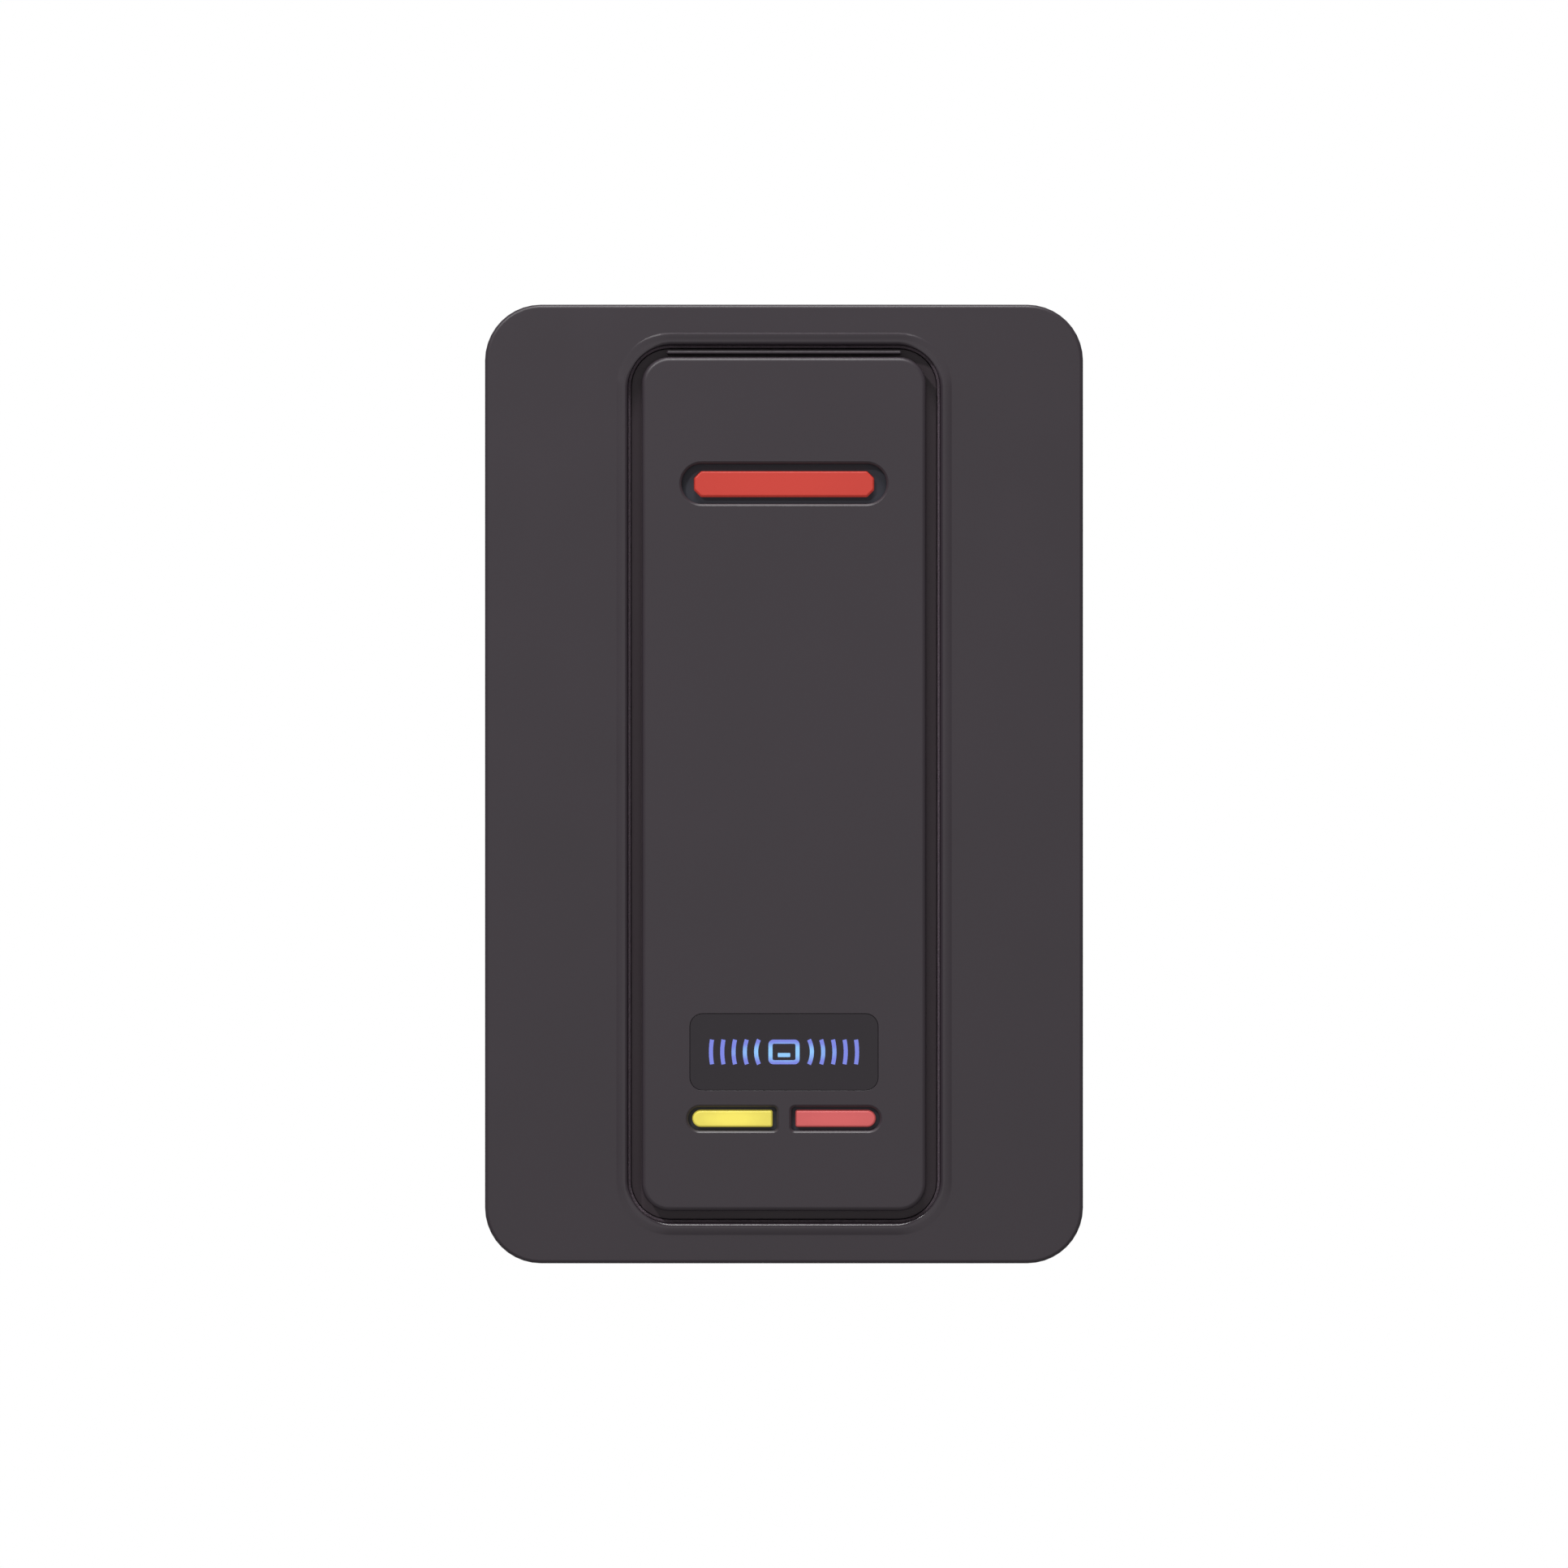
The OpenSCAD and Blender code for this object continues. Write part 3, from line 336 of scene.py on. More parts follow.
@dataclass(frozen=True)
class PlatedMetal(Finish):
    """Rolled, turned or plated metal: fine drawn lines and patches of stronger gloss."""

    name: str
    colour: str
    roughness: float
    line_mm: float = 0.08
    stretch: float = 12.0
    line_height_mm: float = 0.0015
    edge_mm: float = 0.06

    def build(self, tree: bpy.types.NodeTree) -> bpy.types.Node:
        """Lay out the finish's nodes.

        Args:
            tree: The tree that gets the nodes.

        Returns:
            The finish's shader.
        """
        place = add_node(tree, "TexCoord").outputs["Object"]
        drawn = add_node(tree, "Mapping", links={"Vector": place})
        drawn.inputs["Scale"].default_value = (1.0, 1.0, 1 / self.stretch)
        lines = add_node(tree, "TexNoise", {"Scale": 1 / (self.line_mm * MM), "Detail": 2.0},
                         {"Vector": drawn.outputs[0]}).outputs[0]
        patches, colour = clouded(tree, place, 2.2, self.colour, 0.86, 1.05)
        gloss = clouded_gloss(tree, patches, self.roughness - 0.06, self.roughness + 0.08)
        normal = surface_normal(tree, lines, self.line_height_mm, self.edge_mm)
        return add_node(tree, "BsdfPrincipled", {"Metallic": 1.0}, {
            "Base Color": colour, "Roughness": gloss, "Normal": normal})


@dataclass(frozen=True)
class LitPaint(Finish):
    """Matt white studio paint under its own wash of light."""

    name: str
    colour: str
    glow: float

    def build(self, tree: bpy.types.NodeTree) -> bpy.types.Node:
        """Lay out the finish's nodes.

        Args:
            tree: The tree that gets the nodes.

        Returns:
            The finish's shader.
        """
        return add_node(tree, "BsdfPrincipled", {
            "Base Color": linear(self.colour), "Roughness": 0.9, "Specular IOR Level": 0.1,
            "Emission Color": linear(self.colour), "Emission Strength": self.glow})


@dataclass(frozen=True)
class Foam(Finish):
    """Closed-cell foam rubber: soft, matt and covered with small round cells."""

    name: str
    colour: str
    cell_mm: float = 0.35

    def build(self, tree: bpy.types.NodeTree) -> bpy.types.Node:
        """Lay out the finish's nodes.

        Args:
            tree: The tree that gets the nodes.

        Returns:
            The finish's shader.
        """
        place = add_node(tree, "TexCoord").outputs["Object"]
        cells = add_node(tree, "TexVoronoi", {"Scale": 1 / (self.cell_mm * MM)},
                         {"Vector": place}).outputs["Distance"]
        colour = add_node(tree, "ValToRGB", {"ramp": [
            (0.0, shaded(self.colour, 0.55)), (0.6, shaded(self.colour, 1.15))]}, {"Fac": cells})
        normal = surface_normal(tree, cells, 0.06, 0.0)
        return add_node(tree, "BsdfPrincipled", {"IOR": 1.5, "Roughness": 0.85,
                                                 "Specular IOR Level": 0.3},
                        {"Base Color": colour.outputs[0], "Normal": normal})


@dataclass(frozen=True)
class MaskedLaminate(Finish):
    """Glass-fibre board under green solder mask: the weave shows faintly in the gloss."""

    name: str
    colour: str
    thread_mm: float = 0.55
    roughness: float = 0.32

    def build(self, tree: bpy.types.NodeTree) -> bpy.types.Node:
        """Lay out the finish's nodes.

        Args:
            tree: The tree that gets the nodes.

        Returns:
            The finish's shader.
        """
        place = add_node(tree, "TexCoord").outputs["Object"]
        # One wave of the texture at scale s is pi / (10 s) long.
        scale = math.pi / (10 * self.thread_mm * MM)
        warp, weft = (add_node(tree, "TexWave", {"bands_direction": way, "Scale": scale,
                                                 "Distortion": 0.4, "Detail": 1.0},
                               {"Vector": place}).outputs["Fac"] for way in "XZ")
        weave = add_node(tree, "Math", {"operation": "MULTIPLY"}, {0: warp, 1: weft}).outputs[0]
        cloud = add_node(tree, "TexNoise", {"Scale": 1 / (6 * MM), "Detail": 3.0},
                         {"Vector": place}).outputs[0]
        tone = add_node(tree, "Math", {"operation": "MULTIPLY_ADD"}, {0: weave, 2: cloud})
        tone.inputs[1].default_value = 0.3
        colour = add_node(tree, "ValToRGB", {"ramp": [
            (0.3, shaded(self.colour, 0.8)), (0.9, shaded(self.colour, 1.25))]},
            {"Fac": tone.outputs[0]})
        normal = surface_normal(tree, weave, 0.006, 0.05)
        return add_node(tree, "BsdfPrincipled", {"IOR": 1.55, "Roughness": self.roughness,
                                                 "Coat Weight": 0.25, "Coat Roughness": 0.15},
                        {"Base Color": colour.outputs[0], "Normal": normal})


# ABS from a spark-eroded mould: satin, so that it shows broad soft light and no reflections.
# The real grain is about 0.05 mm; it is drawn coarser so that it shows.
BEZEL_ABS = MouldedPlastic("spark_eroded_charcoal_abs", "#383037", 0.42)
FACE_ABS = MouldedPlastic("spark_eroded_charcoal_abs_face", "#393138", 0.42, mottle_mm=22)
# The lip's inner edge, which the mould leaves smooth: it catches a small sharp glint.
EDGE_ABS = MouldedPlastic("smooth_edge_charcoal_abs", "#383037", 0.2, grain_height_mm=0.001)
# Painted shade in the window slots: their walls and floors get a darker, duller copy of the
# charcoal plastic, so that the slots look shaded.
SLOT_PAINTED_SHADE = MouldedPlastic("slot_painted_shade_black", "#33343d", 0.6, specular=0.35)
# The groove's floor is polished ABS without the spark-eroded grain, in a tone of its own: painted
# shading, set so that the groove looks as dark and deep as it does.
GROOVE_PAINTED_SHADE_ABS = MouldedPlastic("groove_painted_shade_abs", "#44373f", 0.5)
# Flocked strip that closes the slit round the core: soft and matt. Its pale tone is painted light,
# which lightens the slit where the collar shades it.
SLIT_STRIP_PAINTED_LIGHT = Foam("flocked_strip_painted_light", "#6e626b", 0.12)
# PC/ABS from a plain mould: darker, with a slight sheen.
CHASSIS_BLACK = MouldedPlastic("moulded_black_pc_abs", "#1b1a1d", 0.48, ior=1.57, grain_mm=0.25,
                               grain_height_mm=0.006, edge_mm=0.2)
SHIELD_BLACK = MouldedPlastic("moulded_black_nylon", "#151417", 0.55, ior=1.53, edge_mm=0.12)
# Cast acrylic with red, yellow and rose tints, lit from behind: the colour looks even.
RED_LENS = LitLens("lit_red_acrylic", "#b83c33", 0.46, rim_share=0.97)
YELLOW_LENS = LitLens("lit_yellow_acrylic", "#e9da60", 0.43, rim_share=0.86)
ROSE_LENS = LitLens("lit_rose_acrylic", "#c35a5a", 0.455, rim_share=0.95)
# Smoked acrylic: almost black, smoother than the shells round it.
SMOKED_ACRYLIC = MouldedPlastic("smoked_acrylic", "#2c262c", 0.34, ior=1.49, specular=0.42,
                                grain_height_mm=0.001, mottle_mm=5)
# Pale blue translucent inlay, lit from behind: it turns violet towards its ends.
BLUE_INLAY = LitLens("lit_blue_inlay", "#8ac0f0", 0.42, rim_share=0.9, rim="#7c86e0")
FROSTED_GUIDE = ClearPlastic("frosted_acrylic", "#e8edf2", 0.45, 0.4)
# EPDM foam and cord: matt, with cells or a dull skin.
GASKET_FOAM = Foam("closed_cell_epdm_foam", "#2a2b2e")
SEAL_RUBBER = MouldedPlastic("extruded_silicone_rubber", "#18191b", 0.6, ior=1.42, grain_mm=0.2)
# Zinc-plated steel: bluish silver with a soft gloss.
ZINC_STEEL = PlatedMetal("zinc_plated_steel", "#b9bdc4", 0.3)
GREEN_MASK = MaskedLaminate("green_masked_laminate", "#14533a")
MASKED_COPPER = MaskedLaminate("green_masked_copper", "#2a7a55", roughness=0.28)
FORMER_NYLON = MouldedPlastic("moulded_natural_nylon", "#cfc9b8", 0.45, ior=1.53, edge_mm=0.1)
# Enamelled copper: warm metal under a clear lacquer.
ENAMELLED_COPPER = PlatedMetal("enamelled_copper_wire", "#c26a35", 0.28, line_mm=0.2, stretch=1.0,
                               edge_mm=0.0)
CHIP_EPOXY = MouldedPlastic("transfer_moulded_epoxy", "#1d1d20", 0.5, ior=1.55, grain_mm=0.12,
                            edge_mm=0.08)
TINNED = PlatedMetal("tin_plated_copper", "#c9cbce", 0.26, edge_mm=0.03)
SOLDER = PlatedMetal("bright_solder", "#bfc2c6", 0.2, line_mm=0.3, stretch=1.0, edge_mm=0.0)
NICKEL_CAN = PlatedMetal("pressed_nickel_silver", "#c4c2bb", 0.24, edge_mm=0.12)
ALUMINIUM_CAN = PlatedMetal("drawn_aluminium", "#c3c6cb", 0.3, edge_mm=0.1)
CAN_PRINT = MouldedPlastic("black_screen_print", "#1a1a1d", 0.4, grain_mm=0.1)
FILM_DIP = MouldedPlastic("dipped_epoxy_lacquer", "#a63e28", 0.25, ior=1.55, grain_mm=0.6,
                          grain_height_mm=0.02, mottle_mm=2, mottle=0.1, edge_mm=0.35)
TAN_CERAMIC = MouldedPlastic("fired_ceramic", "#9b7f58", 0.5, ior=1.7, grain_mm=0.08, edge_mm=0.05)
RESISTOR_GLAZE = MouldedPlastic("glazed_resistor_film", "#202024", 0.25, ior=1.5, edge_mm=0.05)
BRASS_DISC = PlatedMetal("rolled_brass", "#c9a24a", 0.3, edge_mm=0.05)
LED_CASE = MouldedPlastic("white_reflector_resin", "#e6e3da", 0.45, edge_mm=0.08)
LED_PHOSPHOR = MouldedPlastic("cast_phosphor_resin", "#e8c94e", 0.25, ior=1.41, grain_mm=0.15)
SWITCH_BLACK = MouldedPlastic("moulded_black_pbt", "#1d1e20", 0.42, ior=1.55, edge_mm=0.1)
PLUNGER_ACETAL = MouldedPlastic("turned_white_acetal", "#dedbd0", 0.35, ior=1.48, edge_mm=0.1)
SPRING_STEEL = PlatedMetal("drawn_spring_steel", "#cfd1d4", 0.22, line_mm=0.05, edge_mm=0.0)
TERMINAL_GREEN = MouldedPlastic("moulded_green_polyamide", "#22694a", 0.45, ior=1.53, edge_mm=0.12)
SCREEN_WHITE = MouldedPlastic("white_screen_print", "#dcdcd6", 0.5, grain_mm=0.1)

# The finish of each CAD node that stays as it is.
CARRIED_OVER: dict[str, Finish] = {
    "badge_guide": FROSTED_GUIDE, "mounting_plate": CHASSIS_BLACK, "wall_gasket": GASKET_FOAM,
    "core_tub": CHASSIS_BLACK, "face_seal": SEAL_RUBBER, "port_seal": SEAL_RUBBER,
    "tub_screws": ZINC_STEEL, "board_screws": ZINC_STEEL, "circuit_board": GREEN_MASK,
    "coil_former": FORMER_NYLON, "coil_leads": ENAMELLED_COPPER, "controller_chip": CHIP_EPOXY,
    "radio_chip": CHIP_EPOXY, "chip_leads": TINNED, "regulator": CHIP_EPOXY,
    "transistors": CHIP_EPOXY, "crystal": NICKEL_CAN, "electrolytic_cans": ALUMINIUM_CAN,
    "tuning_capacitors": FILM_DIP, "chip_resistors": RESISTOR_GLAZE,
    "chip_capacitors": TAN_CERAMIC, "chip_ends": TINNED, "buzzer_case": SWITCH_BLACK,
    "buzzer_disc": BRASS_DISC, "status_leds": LED_CASE, "badge_leds": LED_CASE,
    "left_led": LED_CASE, "right_led": LED_CASE, "top_light_shield": SHIELD_BLACK,
    "low_light_shield": SHIELD_BLACK, "tamper_case": SWITCH_BLACK,
    "tamper_plunger": PLUNGER_ACETAL, "tamper_spring": SPRING_STEEL, "tamper_legs": TINNED,
    "terminal_block": TERMINAL_GREEN, "terminal_clamps": ZINC_STEEL,
    "terminal_clamp_screws": ZINC_STEEL, "terminal_pins": TINNED,
}


# ---- Drawing ----


@dataclass(frozen=True)
class Outline:
    """A convex outline with its corners rounded, counter-clockwise in plan."""

    corners: tuple[Point, ...]
    radii: tuple[float, ...]

    def points(self, grow: float = 0.0, steps: int = CORNER_STEPS,
               stops: Sequence[Sequence[float]] | None = None) -> list[Point]:
        """Sample the outline, so that all its offsets match point by point.

        Args:
            grow: How far outward the outline is offset.
            steps: Number of edges along each corner.
            stops: For each side, the points to add, as shares of its straight length.

        Returns:
            The points, counter-clockwise.
        """
        count = len(self.corners)
        arcs = []
        for i, corner in enumerate(self.corners):
            before, after = self.corners[i - 1], self.corners[(i + 1) % count]
            normals = []
            for a, b in ((before, corner), (corner, after)):
                run = math.hypot(b[0] - a[0], b[1] - a[1])
                normals.append(((b[1] - a[1]) / run, (a[0] - b[0]) / run))
            (ax, ay), (bx, by) = normals
            share = 1 + ax * bx + ay * by
            mitre = ((ax + bx) / share, (ay + by) / share)
            radius = max(self.radii[i] + grow, 0.01) if self.radii[i] > 0 else 0.0
            centre = [corner[k] + mitre[k] * (grow - radius) for k in (0, 1)]
            if not radius:
                arcs.append([tuple(centre)])
                continue
            start = math.atan2(ay, ax)
            sweep = (math.atan2(by, bx) - start) % math.tau
            arcs.append([(centre[0] + radius * math.cos(start + sweep * k / steps),
                          centre[1] + radius * math.sin(start + sweep * k / steps))
                         for k in range(steps + 1)])
        found = []
        for i, arc in enumerate(arcs):
            following = arcs[(i + 1) % count][0]
            found += arc
            if math.dist(arc[-1], following) < 1e-5:
                found.pop()
                continue
            for share in (stops[i] if stops else ()):
                found.append(tuple(arc[-1][k] + (following[k] - arc[-1][k]) * share
                                   for k in (0, 1)))
        return found


def round_rect(w: float, h: float, r: float, x: float = 0.0, y: float = 0.0,
               square_r: float | None = None, square_right: bool = True) -> Outline:
    """Make a rectangle with round corners, starting at its lower right corner.

    Args:
        w: Width.
        h: Height.
        r: Corner radius.
        x: Middle, to the right.
        y: Middle, up.
        square_r: Corner radius of the one end that is almost square, or None.
        square_right: Whether that end is the right one.

    Returns:
        The outline.
    """
    corners = tuple((x + sx * w / 2, y + sy * h / 2)
                    for sx, sy in ((1, -1), (1, 1), (-1, 1), (-1, -1)))
    other = r if square_r is None else square_r
    right, left = (other, r) if square_right else (r, other)
    return Outline(corners, (right, right, left, left))


def cut_rect(w: float, h: float, cut: float, r: float, y: float) -> Outline:
    """Make a rectangle with cut corners, each softened by a small radius.

    Args:
        w: Width.
        h: Height.
        cut: Length of each cut along the sides.
        r: Small radius at the ends of the cuts.
        y: Middle, up.

    Returns:
        The outline.
    """
    a, b = w / 2, h / 2
    corners = ((a - cut, -b), (a, -b + cut), (a, b - cut), (a - cut, b),
               (-a + cut, b), (-a, b - cut), (-a, -b + cut), (-a + cut, -b))
    return Outline(tuple((px, py + y) for px, py in corners), (r,) * 8)


def circle(r: float, x: float, y: float, count: int = 32) -> list[Point]:
    """Return the points of a circle, counter-clockwise."""
    return [(x + r * math.cos(math.tau * k / count), y + r * math.sin(math.tau * k / count))
            for k in range(count)]


def inside(point: Point, loop: Sequence[Point]) -> bool:
    """Say whether a point lies inside a closed loop.

    Args:
        point: The point.
        loop: The loop's points in order.

    Returns:
        True where it does.
    """
    x, y = point
    result = False
    for (ax, ay), (bx, by) in zip(loop, list(loop[1:]) + [loop[0]]):
        if (ay > y) != (by > y) and x < (bx - ax) * (y - ay) / (by - ay) + ax:
            result = not result
    return result


def quarter(steps: int) -> list[tuple[float, float]]:
    """Return the sine and cosine of even steps through a right angle."""
    return [(math.sin(math.pi / 2 * k / steps), math.cos(math.pi / 2 * k / steps))
            for k in range(steps + 1)]


class Draft:
    """A mesh being drawn in plan, whose faces are flat caps or walls between rings."""

    def __init__(self) -> None:
        """Start an empty mesh."""
        self.bm = bmesh.new()
        self.flat = self.bm.faces.layers.int.new("flat")

    def ring(self, points: Sequence[Point], depth: Depth) -> Ring:
        """Add a ring of vertices.

        Args:
            points: The ring in plan.
            depth: Its distance from the wall, or a function that gives it at a point.

        Returns:
            The ring's vertices.
        """
        at = depth if callable(depth) else lambda x, y: depth
        return [self.bm.verts.new((x * MM, -at(x, y) * MM, y * MM)) for x, y in points]

    def wall(self, a: Ring, b: Ring, material: int = 0, skip: Sequence[int] = ()) -> Ring:
        """Join two matching rings with quads.

        Args:
            a: The first ring.
            b: The second ring.
            material: Number of the finish.
            skip: Numbers of the segments to leave open.

        Returns:
            The second ring, so that calls can follow one another.
        """
        for i in range(len(a)):
            j = (i + 1) % len(a)
            if i not in skip:
                self.bm.faces.new((a[i], a[j], b[j], b[i])).material_index = material
        return b

    def cap(self, outer: Ring, holes: Sequence[Ring] = (), material: int = 0) -> None:
        """Fill the flat space inside a ring and outside its holes.

        Args:
            outer: The ring round the space.
            holes: Rings of the openings in it.
            material: Number of the finish.
        """
        loops = [[(v.co.x / MM, v.co.z / MM) for v in ring] for ring in (outer, *holes)]
        verts = [v for ring in (outer, *holes) for v in ring]
        edges, start = [], 0
        for loop in loops:
            edges += [(start + i, start + (i + 1) % len(loop)) for i in range(len(loop))]
            start += len(loop)
        places, _, faces, origins, _, _ = delaunay_2d_cdt(
            [Vector(p) for loop in loops for p in loop], edges, [], 0, 1e-7)
        for face in faces:
            middle = (sum(places[i].x for i in face) / len(face),
                      sum(places[i].y for i in face) / len(face))
            if inside(middle, loops[0]) and not any(inside(middle, hole) for hole in loops[1:]):
                made = self.bm.faces.new([verts[origins[i][0]] for i in face])
                made.material_index = material
                made[self.flat] = 1

    def loft(self, start: Ring, profile: Profile, material: int = 0) -> Ring:
        """Run a wall from a ring through more of them.

        Args:
            start: The ring that it starts from.
            profile: Each further ring's points and distance from the wall.
            material: Number of the finish.

        Returns:
            The last ring.
        """
        for points, depth in profile:
            start = self.wall(start, self.ring(points, depth), material)
        return start

    def band(self, profile: Profile) -> None:
        """Draw a hollow band: walls through rings and back to the first one.

        Args:
            profile: Each ring's points and distance from the wall.
        """
        rings = [self.ring(points, depth) for points, depth in profile]
        for a, b in zip(rings, rings[1:] + rings[:1]):
            self.wall(a, b)

    def solid(self, profile: Profile) -> None:
        """Draw a solid: walls through rings and a cap at each end.

        Args:
            profile: Each ring's points and distance from the wall.
        """
        rings = [self.ring(points, depth) for points, depth in profile]
        self.cap(rings[0])
        for a, b in zip(rings, rings[1:]):
            self.wall(a, b)
        self.cap(rings[-1])

    def mesh(self, name: str) -> bpy.types.Mesh:
        """Finish the mesh.

        Args:
            name: The mesh's name.

        Returns:
            The mesh. Its flat faces are shaded flat up to their edges, and round ones blend.
        """
        bmesh.ops.recalc_face_normals(self.bm, faces=self.bm.faces)
        made = bpy.data.meshes.new(name)
        flat = [face[self.flat] for face in self.bm.faces]
        self.bm.to_mesh(made)
        self.bm.free()
        normals = [p.normal.copy() for p in made.polygons]
        areas = [p.area for p in made.polygons]
        around: list[list[int]] = [[] for _ in made.vertices]
        for p in made.polygons:
            for v in p.vertices:
                around[v].append(p.index)
        limit = math.cos(SHARP)
        loops = []
        for p in made.polygons:
            for v in p.vertices:
                near = [q for q in around[v] if normals[q].dot(normals[p.index]) > limit]
                near = [p.index] if flat[p.index] else [q for q in near if flat[q]] or near
                loops.append(sum((normals[q] * areas[q] for q in near), Vector()).normalized())
        made.shade_smooth()
        made.normals_split_custom_set(loops)
        return made

    def piece(self, name: str, finishes: Sequence[Finish], body: Body, slot: str,
              replaces: Sequence[str] = ()) -> bpy.types.Object:
        """Turn the drawing into a piece of the reader.

        Args:
            name: The piece's name.
            finishes: Its finishes, by number.
            body: The CAD body that it rides on.
            slot: Not used.
            replaces: The CAD nodes that it stands for.

        Returns:
            The new object.
        """
        made = self.mesh(name)
        for finish in finishes:
            made.materials.append(finish.material())
        obj = bpy.data.objects.new(name, made)
        bpy.context.scene.collection.objects.link(obj)
        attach(obj, body.value)
        if replaces:
            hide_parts(*replaces)
        logging.info("%s: %d faces", name, len(made.polygons))
        return obj


@dataclass(frozen=True)
class Block:
    """The box of one solid of a CAD node, in plan millimetres."""

    lo: tuple[float, float, float]
    hi: tuple[float, float, float]

    @property
    def x(self) -> float:
        """Return its middle, to the right."""
        return (self.lo[0] + self.hi[0]) / 2

    @property
    def y(self) -> float:
        """Return its middle, up."""
        return (self.lo[1] + self.hi[1]) / 2

    @property
    def w(self) -> float:
        """Return its width."""
        return self.hi[0] - self.lo[0]

    @property
    def h(self) -> float:
        """Return its height."""
        return self.hi[1] - self.lo[1]


def solids(name: str) -> list[Block]:
    """Find the separate solids of a CAD node.

    Args:
        name: The node's name.

    Returns:
        Their boxes, from the lower left one on.
    """
    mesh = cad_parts[name].data
    places: dict[tuple[int, int, int], int] = {}
    same = [places.setdefault(tuple(round(c * 1e6) for c in v.co), i)
            for i, v in enumerate(mesh.vertices)]
    parent = list(range(len(mesh.vertices)))

    def root(i: int) -> int:
        """Find the first vertex of a solid.

        Args:
            i: Number of any vertex of the solid.

        Returns:
            The first one's number.
        """
        while parent[i] != i:
            parent[i] = parent[parent[i]]
            i = parent[i]
        return i

    for p in mesh.polygons:
        first = root(same[p.vertices[0]])
        for v in p.vertices[1:]:
            parent[root(same[v])] = first
            first = root(first)
    groups: dict[int, list[Vector]] = {}
    for i, v in enumerate(mesh.vertices):
        groups.setdefault(root(same[i]), []).append(v.co)
    found = []
    for group in groups.values():
        spots = [(co.x / MM, co.z / MM, -co.y / MM) for co in group]
        found.append(Block(tuple(min(s[k] for s in spots) for k in range(3)),
                           tuple(max(s[k] for s in spots) for k in range(3))))
    return sorted(found, key=lambda block: (round(block.lo[1], 2), round(block.lo[0], 2)))


# ---- The shells ----


